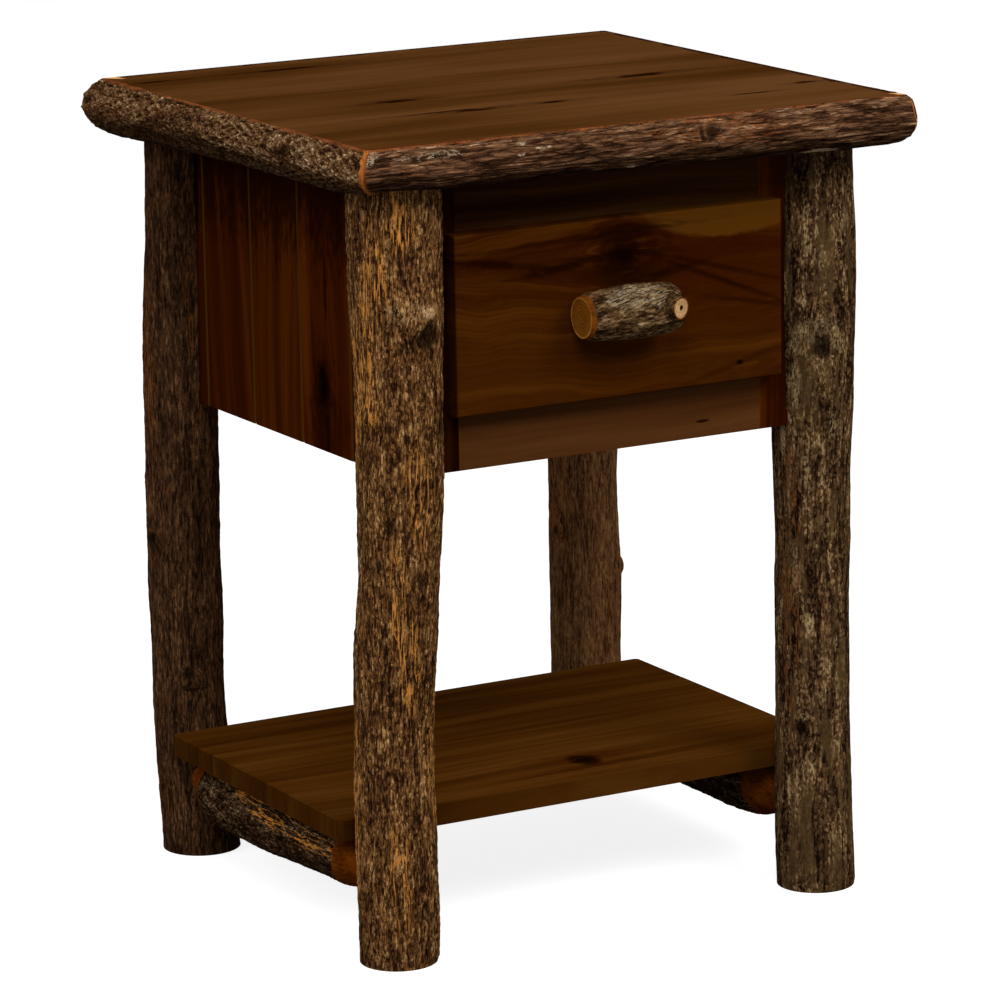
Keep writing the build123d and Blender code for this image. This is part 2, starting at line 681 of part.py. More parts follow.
def back_rail():
    """The rail under the back edge of the planks, between the case sides."""
    with BuildPart() as rail:
        with BuildSketch(Plane.XY.offset(LEG_TOP)):
            with Locations((0, PANEL_FRONT_Y)):
                Rectangle(2 * CASE_INNER_X, BACK_RAIL_THICKNESS, align=(Align.CENTER, Align.MAX))
        extrude(amount=-BACK_RAIL_HEIGHT)
        with Locations(*back_screw_places()):
            screw_hole(BACK_SCREW_LENGTH)
    return rail


def top_cleat(side):
    """A strip along the top of a case side, screwed up into the planks."""
    with BuildPart() as cleat:
        with BuildSketch(Plane.XY.offset(LEG_TOP)):
            with Locations((side * (CASE_INNER_X - CLEAT_SIZE / 2), FRAME_BACK_Y)):
                Rectangle(
                    CLEAT_SIZE,
                    BACK_RAIL_FRONT_Y - FRAME_BACK_Y,
                    align=(Align.CENTER, Align.MIN),
                )
        extrude(amount=-CLEAT_SIZE)
        with Locations(*top_screw_places(side)):
            screw_hole(TOP_SCREW_LENGTH)
    return cleat


def slide_block(side):
    """The packing block that brings a slide out to the edge of the opening."""
    with BuildPart() as block:
        with BuildSketch(Plane.XY.offset(SLIDE_Z - BLOCK_HEIGHT / 2)):
            with Locations((side * (OPENING_X + CASE_INNER_X) / 2, FRAME_BACK_Y)):
                Rectangle(
                    CASE_INNER_X - OPENING_X,
                    BACK_RAIL_FRONT_Y - FRAME_BACK_Y,
                    align=(Align.CENTER, Align.MIN),
                )
        extrude(amount=BLOCK_HEIGHT)
        with Locations(*block_screw_places(side)):
            screw_hole(BLOCK_SCREW_LENGTH)
        with Locations(*case_slide_screws(side)):
            screw_hole(SLIDE_SCREW_LENGTH)
    return block


# ---------------------------------------------------------------- shelf


def shelf_centres():
    return [SHELF_FRONT_Y + SHELF_BOARD_WIDTH * (i + 0.5) for i in range(SHELF_BOARD_COUNT)]


def shelf_board(index):
    """One board of the shelf. The outer boards have rounded corners."""
    centre = shelf_centres()[index]
    with BuildPart() as board:
        with BuildSketch(Plane.XY.offset(SHELF_BOTTOM)):
            with Locations((0, centre)):
                Rectangle(2 * SHELF_X, SHELF_BOARD_WIDTH)
        extrude(amount=SHELF_THICKNESS)
        uprights = board.edges().filter_by(Axis.Z).group_by(Axis.Y)
        if index == 0:
            fillet(uprights[0], radius=SHELF_CORNER_RADIUS)
        if index == SHELF_BOARD_COUNT - 1:
            fillet(uprights[-1], radius=SHELF_CORNER_RADIUS)
        top = board.faces().sort_by(Axis.Z)[-1]
        chamfer(top.edges().filter_by(Axis.X), length=JOINT_EASE)
        for side in SIDES.values():
            with Locations(*shelf_screw_places(side)):
                screw_hole(SHELF_SCREW_LENGTH)
    return board


def round_section(x, y, z, radius):
    """A round section across a log that runs front to back."""
    with BuildSketch(Plane(origin=(x, y, z), x_dir=(1, 0, 0), z_dir=(0, 1, 0))) as section:
        Circle(radius)
    return section.sketch


def stretcher(name):
    """A log under the shelf, pared to a pencil point and a round tenon at both ends."""
    x = SIDES[name] * LEG_X
    factors = STRETCHER_SHAPES[name]
    start = CONE_FRONT_Y + STRETCHER_CONE
    run = CONE_REAR_Y - STRETCHER_CONE - start
    sections = []
    for index, factor in enumerate(factors):
        radius = STRETCHER_RADIUS * factor
        place = start + run * index / (len(factors) - 1)
        sections.append(round_section(x, place, SHELF_BOTTOM + STRETCHER_SEAT - radius, radius))
    front_tip = round_section(x, CONE_FRONT_Y, STRETCHER_Z, STRETCHER_TENON_RADIUS)
    rear_tip = round_section(x, CONE_REAR_Y, STRETCHER_Z, STRETCHER_TENON_RADIUS)
    with BuildPart() as log:
        loft(sections=sections)
        loft(sections=[front_tip, sections[0]])
        loft(sections=[sections[-1], rear_tip])
        extrude(front_tip, amount=-(CONE_FRONT_Y - STRETCHER_FRONT_Y))
        extrude(rear_tip, amount=STRETCHER_REAR_Y - CONE_REAR_Y)
        split(bisect_by=Plane.XY.offset(SHELF_BOTTOM), keep=Keep.BOTTOM)
        places = shelf_screw_places(SIDES[name])
        with Locations(*places):
            screw_hole(SHELF_SCREW_LENGTH)
            Cylinder(
                SCREW_HEAD_RADIUS + 2 * SCREW_GAP,
                2 * STRETCHER_RADIUS,
                align=(Align.CENTER, Align.CENTER, Align.MIN),
                mode=Mode.SUBTRACT,
            )
    return log


# ---------------------------------------------------------------- drawer


def tail_pitch():
    return BOX_HEIGHT / TAIL_COUNT


def add_tails(y_end, inward, mode):
    """Dovetail tails of a box side at one end, as upright wedges through its thickness."""
    half_root = tail_pitch() / 2 - TAIL_FLARE - TAIL_PIN / 2
    half_tip = half_root + TAIL_FLARE
    for index in range(TAIL_COUNT):
        z = BOX_BOTTOM + tail_pitch() * (index + 0.5)
        y_root = y_end + inward * BOX_WALL
        with BuildSketch(Plane.YZ.offset(-BOX_X)) as tail:
            with BuildLine():
                Polyline(
                    (y_root, z - half_root),
                    (y_end, z - half_tip),
                    (y_end, z + half_tip),
                    (y_root, z + half_root),
                    close=True,
                )
            make_face()
        extrude(tail.sketch, amount=2 * BOX_X, mode=mode)


def bottom_groove():
    """The space that the drawer bottom and its play take up in the box walls."""
    with BuildPart(mode=Mode.PRIVATE) as space:
        with BuildSketch(Plane.XY.offset(BOX_BOTTOM + BOTTOM_RAISE - FIT_GAP)):
            with Locations((0, BOX_MIDDLE_Y)):
                Rectangle(
                    2 * (BOX_INNER_X + BOTTOM_GROOVE_DEPTH),
                    BOX_LENGTH - 2 * BOX_WALL + 2 * BOTTOM_GROOVE_DEPTH,
                )
        extrude(amount=BOTTOM_THICKNESS + 2 * FIT_GAP)
    return space.part


def drawer_box_side(side):
    """A side of the drawer box, with tails at both ends."""
    x_middle = side * (BOX_X - BOX_WALL / 2)
    with BuildPart() as wall:
        with BuildSketch(Plane.XY.offset(BOX_BOTTOM)):
            with Locations((x_middle, BOX_MIDDLE_Y)):
                Rectangle(BOX_WALL, BOX_LENGTH - 2 * BOX_WALL)
        extrude(amount=BOX_HEIGHT)
        add_tails(FRONT_BACK_Y, 1, Mode.ADD)
        add_tails(BOX_BACK_Y, -1, Mode.ADD)
        with BuildSketch(Plane.XY.offset(BOX_BOTTOM)):
            with Locations((x_middle, BOX_MIDDLE_Y)):
                Rectangle(BOX_WALL, BOX_LENGTH)
        extrude(amount=BOX_HEIGHT, mode=Mode.INTERSECT)
        add(bottom_groove(), mode=Mode.SUBTRACT)
        with Locations(*drawer_slide_screws(side)):
            screw_hole(SLIDE_SCREW_LENGTH)
    return wall


def drawer_box_end(y_end, inward):
    """The front or back of the drawer box, with pins at both ends."""
    with BuildPart() as wall:
        with BuildSketch(Plane.XY.offset(BOX_BOTTOM)):
            with Locations((0, y_end + inward * BOX_WALL / 2)):
                Rectangle(2 * BOX_X, BOX_WALL)
        extrude(amount=BOX_HEIGHT)
        add_tails(y_end, inward, Mode.SUBTRACT)
        with BuildSketch(Plane.XY.offset(BOX_BOTTOM)):
            with Locations((0, y_end + inward * BOX_WALL / 2)):
                Rectangle(2 * BOX_INNER_X, BOX_WALL)
        extrude(amount=BOX_HEIGHT)
        add(bottom_groove(), mode=Mode.SUBTRACT)
        if inward > 0:
            with Locations(*front_screw_places()):
                screw_hole(FRONT_SCREW_LENGTH)
            with Locations(*pull_screw_places()):
                screw_hole(PULL_SCREW_LENGTH)
    return wall


def drawer_bottom():
    """A thin panel held in the grooves of the box."""
    hold = BOTTOM_GROOVE_DEPTH - FIT_GAP
    with BuildPart() as panel:
        with BuildSketch(Plane.XY.offset(BOX_BOTTOM + BOTTOM_RAISE)):
            with Locations((0, BOX_MIDDLE_Y)):
                Rectangle(
                    2 * (BOX_INNER_X + hold),
                    BOX_LENGTH - 2 * BOX_WALL + 2 * hold,
                )
        extrude(amount=BOTTOM_THICKNESS)
    return panel


def drawer_front():
    """The wide board that overlays the opening, with eased front edges."""
    with BuildPart() as board:
        with BuildSketch(Plane.XY.offset(FRONT_BOTTOM)):
            with Locations((0, FRONT_FACE_Y)):
                Rectangle(2 * FRONT_X, DRAWER_FRONT_THICKNESS, align=(Align.CENTER, Align.MIN))
        extrude(amount=FRONT_HEIGHT)
        face = board.faces().sort_by(Axis.Y)[0]
        fillet(face.edges(), radius=DRAWER_FRONT_EASE)
        with Locations(*front_screw_places()):
            screw_hole(FRONT_SCREW_LENGTH)
        with Locations(*pull_screw_places()):
            screw_hole(PULL_SCREW_LENGTH)
    return board


def pull_section(place, radius):
    """A round section across the pull."""
    plane = Plane(origin=(place, PULL_Y, PULL_Z), x_dir=(0, 0, 1), z_dir=(1, 0, 0))
    with BuildSketch(plane) as section:
        Circle(radius)
    return section.sketch


def drawer_pull():
    """A length of branch, cut clean at the left, with a cut twig near its right end."""
    left = -PULL_LENGTH / 2
    body = [pull_section(left + PULL_LENGTH * at, PULL_RADIUS * size) for at, size in PULL_SHAPE]
    cut_face = pull_section(left, PULL_CUT_RADIUS)
    chamfer_end = pull_section(left + PULL_CHAMFER, PULL_RADIUS * PULL_SHAPE[0][1])
    twig_direction = Vector(sin(radians(TWIG_ANGLE)), -cos(radians(TWIG_ANGLE)), 0)
    twig_end = Vector(TWIG_OFFSET, PULL_Y, PULL_Z + TWIG_RISE) + twig_direction * (
        PULL_RADIUS + TWIG_PROUD
    )
    with BuildPart() as pull:
        loft(sections=[cut_face, chamfer_end])
        loft(sections=[chamfer_end, body[0]])
        loft(sections=body)
        with BuildSketch(Plane(origin=twig_end, z_dir=twig_direction)):
            Circle(TWIG_RADIUS)
        extrude(amount=-PULL_RADIUS, taper=-TWIG_TAPER)
        split(bisect_by=Plane.XZ.offset(-FRONT_FACE_Y), keep=Keep.TOP)
        with Locations(*pull_screw_places()):
            screw_hole(PULL_SCREW_LENGTH)
    return pull


# ---------------------------------------------------------------- slides


def slide_sheet(side, start, end, bottom, top):
    """One straight wall of a slide member, measured from the slide block's face."""
    low, high = sorted((side * (OPENING_X - start), side * (OPENING_X - end)))
    with BuildSketch(Plane.XZ.offset(-SLIDE_FRONT_Y)) as wall:
        with Locations((low, SLIDE_Z + bottom)):
            Rectangle(high - low, top - bottom, align=Align.MIN)
    extrude(wall.sketch, amount=-SLIDE_LENGTH)


def slide_case_member(side):
    """The outer channel, screwed to the slide block."""
    half = SLIDE_HEIGHT / 2
    flange = SLIDE_THICKNESS - SLIDE_BOX_GAP
    with BuildPart() as member:
        slide_sheet(side, 0, SLIDE_SHEET, -half, half)
        slide_sheet(side, 0, flange, -half, -half + SLIDE_SHEET)
        slide_sheet(side, 0, flange, half - SLIDE_SHEET, half)
        with Locations(*case_slide_screws(side)):
            screw_hole(SLIDE_SCREW_LENGTH)
    return member


def slide_middle_member(side):
    """The middle member, which runs half as far as the drawer."""
    half = SLIDE_HEIGHT / 2 - SLIDE_SHEET - SLIDE_GAP
    start = SLIDE_SHEET + SLIDE_LIP_GAP
    end = SLIDE_THICKNESS - start
    with BuildPart() as member:
        slide_sheet(side, SLIDE_MIDDLE_WEB, SLIDE_MIDDLE_WEB + SLIDE_SHEET, -half, half)
        slide_sheet(side, start, end, -half, -half + SLIDE_SHEET)
        slide_sheet(side, start, end, half - SLIDE_SHEET, half)
    return member


def slide_drawer_member(side):
    """The inner channel, screwed to the drawer box."""
    half = SLIDE_HEIGHT / 2 - 2 * (SLIDE_SHEET + SLIDE_GAP)
    flange = SLIDE_MIDDLE_WEB + SLIDE_SHEET + SLIDE_LIP_GAP
    with BuildPart() as member:
        slide_sheet(side, SLIDE_THICKNESS - SLIDE_SHEET, SLIDE_THICKNESS, -half, half)
        slide_sheet(side, flange, SLIDE_THICKNESS, -half, -half + SLIDE_SHEET)
        slide_sheet(side, flange, SLIDE_THICKNESS, half - SLIDE_SHEET, half)
        with Locations(*drawer_slide_screws(side)):
            screw_hole(SLIDE_SCREW_LENGTH)
    return member


# ---------------------------------------------------------------- the table


def build_top():
    for index, centre in enumerate(plank_centres()):
        save(top_plank(centre), f"top_plank_{index + 1}")
    for name in EDGE_SHAPES:
        save(edging_log(name), f"edging_{name}")
    save(edging_dowels(), "edging_dowels")


def build_case():
    joints = side_joints()
    fronts = joints + [FRAME_BACK_Y]
    backs = [CASE_BACK_Y] + joints
    for name, side in SIDES.items():
        for index, (front, back) in enumerate(zip(fronts, backs)):
            board = side_board(side, front, back, index == len(joints), index == 0)
            save(board, f"side_board_{name}_{index + 1}")
        save(frame_stile(side), f"stile_{name}")
        save(top_cleat(side), f"top_cleat_{name}")
        save(slide_block(side), f"slide_block_{name}")
    for name, (rail_bottom, rail_height) in RAILS.items():
        save(frame_rail(rail_bottom, rail_height), f"rail_{name}")
    save(back_panel(), "back_panel")
    save(back_rail(), "back_rail")


def build_shelf():
    for index in range(SHELF_BOARD_COUNT):
        save(shelf_board(index), f"shelf_board_{index + 1}")
    for name in STRETCHER_SHAPES:
        save(stretcher(name), f"stretcher_{name}")


def build_drawer():
    save(drawer_front(), "drawer_front")
    save(drawer_box_end(FRONT_BACK_Y, 1), "drawer_box_front")
    save(drawer_box_end(BOX_BACK_Y, -1), "drawer_box_back")
    save(drawer_bottom(), "drawer_bottom")
    save(drawer_pull(), "drawer_pull")
    for name, side in SIDES.items():
        save(drawer_box_side(side), f"drawer_side_{name}")
        save(slide_case_member(side), f"slide_case_{name}")
        save(slide_middle_member(side), f"slide_middle_{name}")
        save(slide_drawer_member(side), f"slide_drawer_{name}")


def build_screws():
    sides = SIDES.values()
    case_places = [(leg_screw_places(corner), LEG_SCREW_LENGTH) for corner in LEG_PLACES]
    case_places += [(top_screw_places(side), TOP_SCREW_LENGTH) for side in sides]
    case_places += [(block_screw_places(side), BLOCK_SCREW_LENGTH) for side in sides]
    case_places.append((back_screw_places(), BACK_SCREW_LENGTH))
    save(screw_group(case_places), "case_screws")
    shelf_places = [(shelf_screw_places(side), SHELF_SCREW_LENGTH) for side in sides]
    save(screw_group(shelf_places), "shelf_screws")
    case_slides = [(case_slide_screws(side), SLIDE_SCREW_LENGTH) for side in sides]
    save(screw_group(case_slides, SLIDE_SCREW_HEAD_HEIGHT), "slide_case_screws")
    drawer_slides = [(drawer_slide_screws(side), SLIDE_SCREW_LENGTH) for side in sides]
    save(screw_group(drawer_slides, SLIDE_SCREW_HEAD_HEIGHT), "slide_drawer_screws")
    save(screw_group([(front_screw_places(), FRONT_SCREW_LENGTH)]), "drawer_front_screws")
    save(screw_group([(pull_screw_places(), PULL_SCREW_LENGTH)]), "pull_screws")


os.makedirs("parts", exist_ok=True)
build_top()
for corner_name in LEG_PLACES:
    save(leg(corner_name), f"leg_{corner_name}")
build_case()
build_shelf()
build_drawer()
build_screws()
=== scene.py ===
from math import cos, pi, radians, sin

import bmesh
import bpy
import numpy as np
from mathutils import Matrix, Vector
from mathutils.bvhtree import BVHTree


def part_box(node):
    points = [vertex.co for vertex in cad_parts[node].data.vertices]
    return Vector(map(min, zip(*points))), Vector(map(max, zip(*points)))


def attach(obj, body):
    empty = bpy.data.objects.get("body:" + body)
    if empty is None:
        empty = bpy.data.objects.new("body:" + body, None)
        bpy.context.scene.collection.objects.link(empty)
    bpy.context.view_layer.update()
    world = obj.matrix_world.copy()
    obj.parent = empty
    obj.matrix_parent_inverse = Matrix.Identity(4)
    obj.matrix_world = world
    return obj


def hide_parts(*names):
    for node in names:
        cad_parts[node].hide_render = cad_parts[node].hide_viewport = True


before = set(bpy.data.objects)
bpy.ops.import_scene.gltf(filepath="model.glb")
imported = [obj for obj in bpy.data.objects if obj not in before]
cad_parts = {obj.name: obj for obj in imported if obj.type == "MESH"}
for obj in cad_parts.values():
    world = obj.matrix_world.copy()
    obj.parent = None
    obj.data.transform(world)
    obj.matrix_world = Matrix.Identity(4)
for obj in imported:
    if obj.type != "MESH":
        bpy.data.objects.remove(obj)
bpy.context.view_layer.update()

# Looks of the rustic hickory nightstand. Metres, in the same frame as the CAD model:
# +Z up, the drawer faces -Y, and the origin is on the floor under the centre of the top.

MM = 0.001
AXES = "XYZ"
X_WAY, Y_WAY, Z_WAY = Vector((1, 0, 0)), Vector((0, 1, 0)), Vector((0, 0, 1))


def rgb(red, green, blue):
    """A linear colour from 8-bit display values."""
    values = [channel / 255 for channel in (red, green, blue)]
    return tuple(v / 12.92 if v <= 0.04045 else ((v + 0.055) / 1.055) ** 2.4 for v in values)


def scaled(colour, factor):
    return tuple(channel * factor for channel in colour)


# ---------------- node graphs


class Value:
    """What an output socket gives. Arithmetic with it makes Math nodes."""

    def __init__(self, graph, socket):
        self.graph, self.socket = graph, socket

    def __add__(self, other):
        return self.graph.math("ADD", self, other)

    def __sub__(self, number):
        return self + -number

    def __mul__(self, other):
        return self.graph.math("MULTIPLY", self, other)

    def __abs__(self):
        return self.graph.math("ABSOLUTE", self)


class Graph:
    """Short calls that build the node tree of a material or a world."""

    def __init__(self, owner):
        owner.use_nodes = True
        self.owner, self.tree = owner, owner.node_tree
        self.tree.nodes.clear()

    def node(self, kind, inputs=(), **settings):
        """A node with its settings. inputs are what its sockets get, by name or number."""
        made = self.tree.nodes.new("ShaderNode" + kind)
        for key, value in settings.items():
            setattr(made, key, value)
        for key, value in dict(inputs).items():
            socket = made.inputs[key]
            if isinstance(value, Value):
                self.tree.links.new(value.socket, socket)
            else:
                socket.default_value = (*value, 1) if socket.type == "RGBA" else value
        return made

    def out(self, output, kind, inputs=(), **settings):
        """One output of a new node."""
        return Value(self, self.node(kind, inputs, **settings).outputs[output])

    def math(self, operation, *values):
        return self.out(0, "Math", enumerate(values), operation=operation)

    def blend(self, base, *parts):
        """base plus each (value, weight), where a value counts from its middle, 0.5."""
        for value, weight in parts:
            base = (value - 0.5) * weight + base
        return base

    def combine(self, *parts):
        return self.out(0, "CombineXYZ", enumerate(parts))

    def split(self, vector):
        return [Value(self, socket) for socket in self.node("SeparateXYZ", {0: vector}).outputs]

    def length(self, *parts):
        return self.out("Value", "VectorMath", {0: self.combine(*parts)}, operation="LENGTH")

    def noise(self, vector, scale=1, detail=2, roughness=0.5, distortion=0):
        inputs = {"Vector": vector, "Scale": scale, "Detail": detail, "Roughness": roughness}
        return self.out("Fac", "TexNoise", {**inputs, "Distortion": distortion})

    def warped(self, vector, amount, scale=0.4):
        """The coordinates moved about by noise."""
        shift = self.out("Color", "TexNoise", {"Vector": vector, "Scale": scale})
        return self.out(0, "VectorMath", {0: shift, 1: (amount,) * 3, 2: vector}, operation="MULTIPLY_ADD")

    def cells(self, vector):
        """A random value for the cell that a point lies in, and its distance from the middle."""
        made = self.node("TexVoronoi", {"Vector": vector, "Scale": 1})
        red = self.out(0, "SeparateColor", {0: Value(self, made.outputs["Color"])})
        return red, Value(self, made.outputs["Distance"])

    def ease(self, value, low, high):
        """0 below low, 1 above high, smooth between. low may be the larger one."""
        limits = {"Value": value, "From Min": low, "From Max": high}
        return self.out("Result", "MapRange", limits, interpolation_type="SMOOTHSTEP")

    def ramp(self, value, *stops):
        """A colour that runs through (place, colour) stops."""
        made = self.node("ValToRGB", {0: value})
        elements = made.color_ramp.elements
        while len(elements) < len(stops):
            elements.new(0.5)
        for element, (place, colour) in zip(elements, stops):
            element.position = place
            element.color = (*colour, 1)
        return Value(self, made.outputs[0])

    def mix(self, share, first, second):
        return self.out(2, "Mix", {0: share, 6: first, 7: second}, data_type="RGBA")

    def attribute(self, name):
        return self.out("Fac", "Attribute", attribute_name=name)

    def place(self):
        """Coordinates in the shared frame that stay with a moving piece."""
        return self.out("Object", "TexCoord")

    def stretched(self, along, across, run, offset=0, slope=0):
        """Coordinates for noise whose features are across wide and run long, in mm.

        slope is how many mm they climb for each mm along the log."""
        parts = self.split(self.place())
        if slope:
            parts[2] += parts[AXES.index(along)] * -slope
        sizes = [run if axis == along else across for axis in AXES]
        return self.combine(*[part * (1 / (size * MM)) + offset for part, size in zip(parts, sizes)])

    def output(self, kind, shader):
        self.node("Output" + kind, {0: Value(self, shader.outputs[0])})
        return self.owner

    def surface(self, colour, roughness, **constants):
        """The finished material. The constants go straight onto the shader's sockets, by name."""
        inputs = {"Base Color": colour, "Roughness": roughness, **constants}
        return self.output("Material", self.node("BsdfPrincipled", inputs))

    def wood_surface(self, colour, roughness, height, strength, depth):
        """A matt surface. depth is that of its fine relief, in mm."""
        normal = self.out(0, "Bump", {"Height": height, "Strength": strength, "Distance": depth * MM})
        return self.surface(colour, roughness, Normal=normal, **{"Specular IOR Level": 0})


def new_graph(name):
    return Graph(bpy.data.materials.new(name))


# ---------------- board wood

# Wood by group: dark, middle and light tone.
STAINS = {
    "top": (rgb(66, 37, 10), rgb(82, 49, 20), rgb(94, 59, 30)),
    "shelf": (rgb(44, 21, 2), rgb(60, 32, 5), rgb(72, 43, 12)),
    "case": (rgb(34, 8, 1), rgb(52, 18, 1), rgb(76, 34, 5)),
    "amber": (rgb(44, 14, 1), rgb(64, 26, 1), rgb(86, 42, 5)),
    "drawer": (rgb(40, 13, 1), rgb(54, 23, 2), rgb(72, 37, 4)),
    "rail": (rgb(50, 24, 6), rgb(74, 42, 18), rgb(90, 56, 26)),
    "maple": (rgb(176, 132, 84), rgb(204, 164, 112), rgb(220, 186, 138)),
    "softwood": (rgb(170, 128, 80), rgb(200, 160, 108), rgb(214, 180, 132)),
    "plywood": (rgb(168, 126, 78), rgb(190, 148, 98), rgb(206, 170, 122)),
    "back": (rgb(44, 23, 8), rgb(60, 34, 14), rgb(74, 45, 20)),
}


def board(name, stain, grain, wide, seed, wave=0, shade=1, bands=45, contrast=1, fine=0.6,
          knots=(), patches=(), groove_highlight=None):
    """Sawn wood with its grain along one axis and its width along another.

    bands is how many broad bands lie side by side in a metre or so, fine is the weight of the thin
    lines, wave is how far the grain wanders, in metres, and groove_highlight is the colour of a
    painted highlight on faces that look sideways, such as the sides of V-grooves. Knots are (along,
    across, radius, reach), where reach says how far round it the grain parts, and patches are (along,
    across, half length, half width, tilt, colour, strength, softness), in mm. tilt is a patch's rise
    in mm per mm."""
    graph = new_graph(name)
    place = graph.split(graph.place())
    along, width = place[AXES.index(grain)], place[AXES.index(wide)]
    depth = place[3 - AXES.index(grain) - AXES.index(wide)]
    drift = graph.noise(graph.combine(along * 3, width * 6, seed), detail=1)
    flow = width + (drift - 0.5) * 0.045
    if wave:
        ripple = graph.noise(graph.combine(along * 17, width * 13, seed + 8), detail=1)
        flow = flow + (ripple - 0.5) * wave

    def oval(centre, across, half_along, half_across, tilt=0):
        """Distance from an oval's centre, 1 at its edge, and the sideways offset from it."""
        off_along = along - centre * MM
        off_across = (width - across * MM) + off_along * -tilt
        far = graph.length(off_along * (1 / (half_along * MM)), off_across * (1 / (half_across * MM)))
        return far, off_across

    cores = []
    for centre, across, radius, reach in knots:
        far, off_across = oval(centre, across, 3.4 * radius * reach, 2.0 * radius * reach)
        push = graph.math("EXPONENT", far * far * -1)
        side = graph.math("TANH", off_across * (2 / (radius * MM)))
        flow = flow + side * push * (-0.9 * radius * reach * MM)
        wobble = graph.noise(graph.combine(along * 90, width * 120, seed))
        near, _ = oval(centre, across, 1.7 * radius, radius)
        cores.append(graph.ease(graph.blend(near, (wobble, 1.2)), 1.25, 0.35))
    slice_place = graph.blend(seed * 3.7, (depth, 1))
    broad = graph.noise(graph.combine(along * 2.4, flow * bands, slice_place))
    lines = graph.noise(graph.combine(along * 6, flow * 330, depth * 60), detail=3)
    fibres = graph.noise(graph.combine(along * 45, flow * 2300, depth * 900))
    ragged = graph.noise(graph.combine(along * 70, flow * 190, seed))
    dark, middle, light = [scaled(tone, shade) for tone in STAINS[stain]]
    tone = graph.blend(0.5, (broad, 1.9 * contrast), (lines, fine * contrast), (fibres, 0.25 * contrast))
    colour = graph.ramp(tone, (0.15, dark), (0.5, middle), (0.85, light))
    for *spot, patch_colour, strength, soft in patches:
        near, _ = oval(*spot)
        edge = graph.blend(near, (broad, 1.6 * soft), (lines, 0.6 * soft), (ragged, 3 * soft))
        colour = graph.mix(graph.ease(edge, 1 + soft, 1 - soft) * strength, colour, patch_colour)
    for core in cores:
        colour = graph.mix(core * 0.9, colour, scaled(dark, 0.15))
    facing = graph.split(graph.out("Normal", "NewGeometry"))
    # painted highlight on faces that look across the board, such as the sides of V-grooves
    if groove_highlight:
        sideways = graph.ease(abs(facing[AXES.index(wide)]), 0.25, 0.5)
        colour = graph.mix(sideways * 0.65, colour, groove_highlight)
    end_grain = graph.ease(abs(facing[AXES.index(grain)]), 0.6, 0.95)
    colour = graph.mix(end_grain * 0.45, colour, scaled(dark, 0.5))
    height = fibres * 0.6 + lines * 0.8
    return graph.wood_surface(colour, height * 0.08 + 0.5, height, 0.35, 0.4)


def paint(node, material):
    """Give a CAD node its material."""
    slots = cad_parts[node].data.materials
    slots.clear()
    slots.append(material)


SAPWOOD = rgb(78, 45, 7)
STREAK = rgb(20, 4, 0)
REDDISH = rgb(46, 13, 0)
# the olive colour is a painted highlight on the sides of the V-grooves between side boards
GROOVE_HIGHLIGHT = rgb(70, 46, 8)
CHECK = rgb(30, 13, 2)
TAN = rgb(74, 38, 4)
CORE = rgb(8, 1, 0)

# Groups of like boards: stain, grain, width, and what else all of the group share.
BOARDS = {
    "top_plank": ("top", "X", "Y", {}),
    "shelf_board": ("shelf", "X", "Y", dict(shade=1.28, contrast=0.75, fine=0.9)),
    "side_board": ("case", "Z", "Y", dict(shade=0.85, contrast=0.55, groove_highlight=GROOVE_HIGHLIGHT)),
    "stile": ("case", "Z", "X", {}),
    "rail": ("rail", "X", "Z", {}),
    "drawer_front": ("drawer", "X", "Z", {}),
    "drawer_box": ("maple", "X", "Z", {}),
    "drawer_side": ("maple", "Y", "Z", {}),
    "drawer_bottom": ("plywood", "X", "Y", {}),
    "back_panel": ("back", "Z", "X", {}),
    "back_rail": ("softwood", "X", "Z", {}),
    "top_cleat": ("softwood", "Y", "X", {}),
    "slide_block": ("softwood", "Y", "Z", {}),
}
SHADE_UNDER_TOP = (715, 0, 118, 2000, 0, STREAK, 0.85, 0.35)  # painted shade under the overhang of the top, darkening the upper part of the case sides
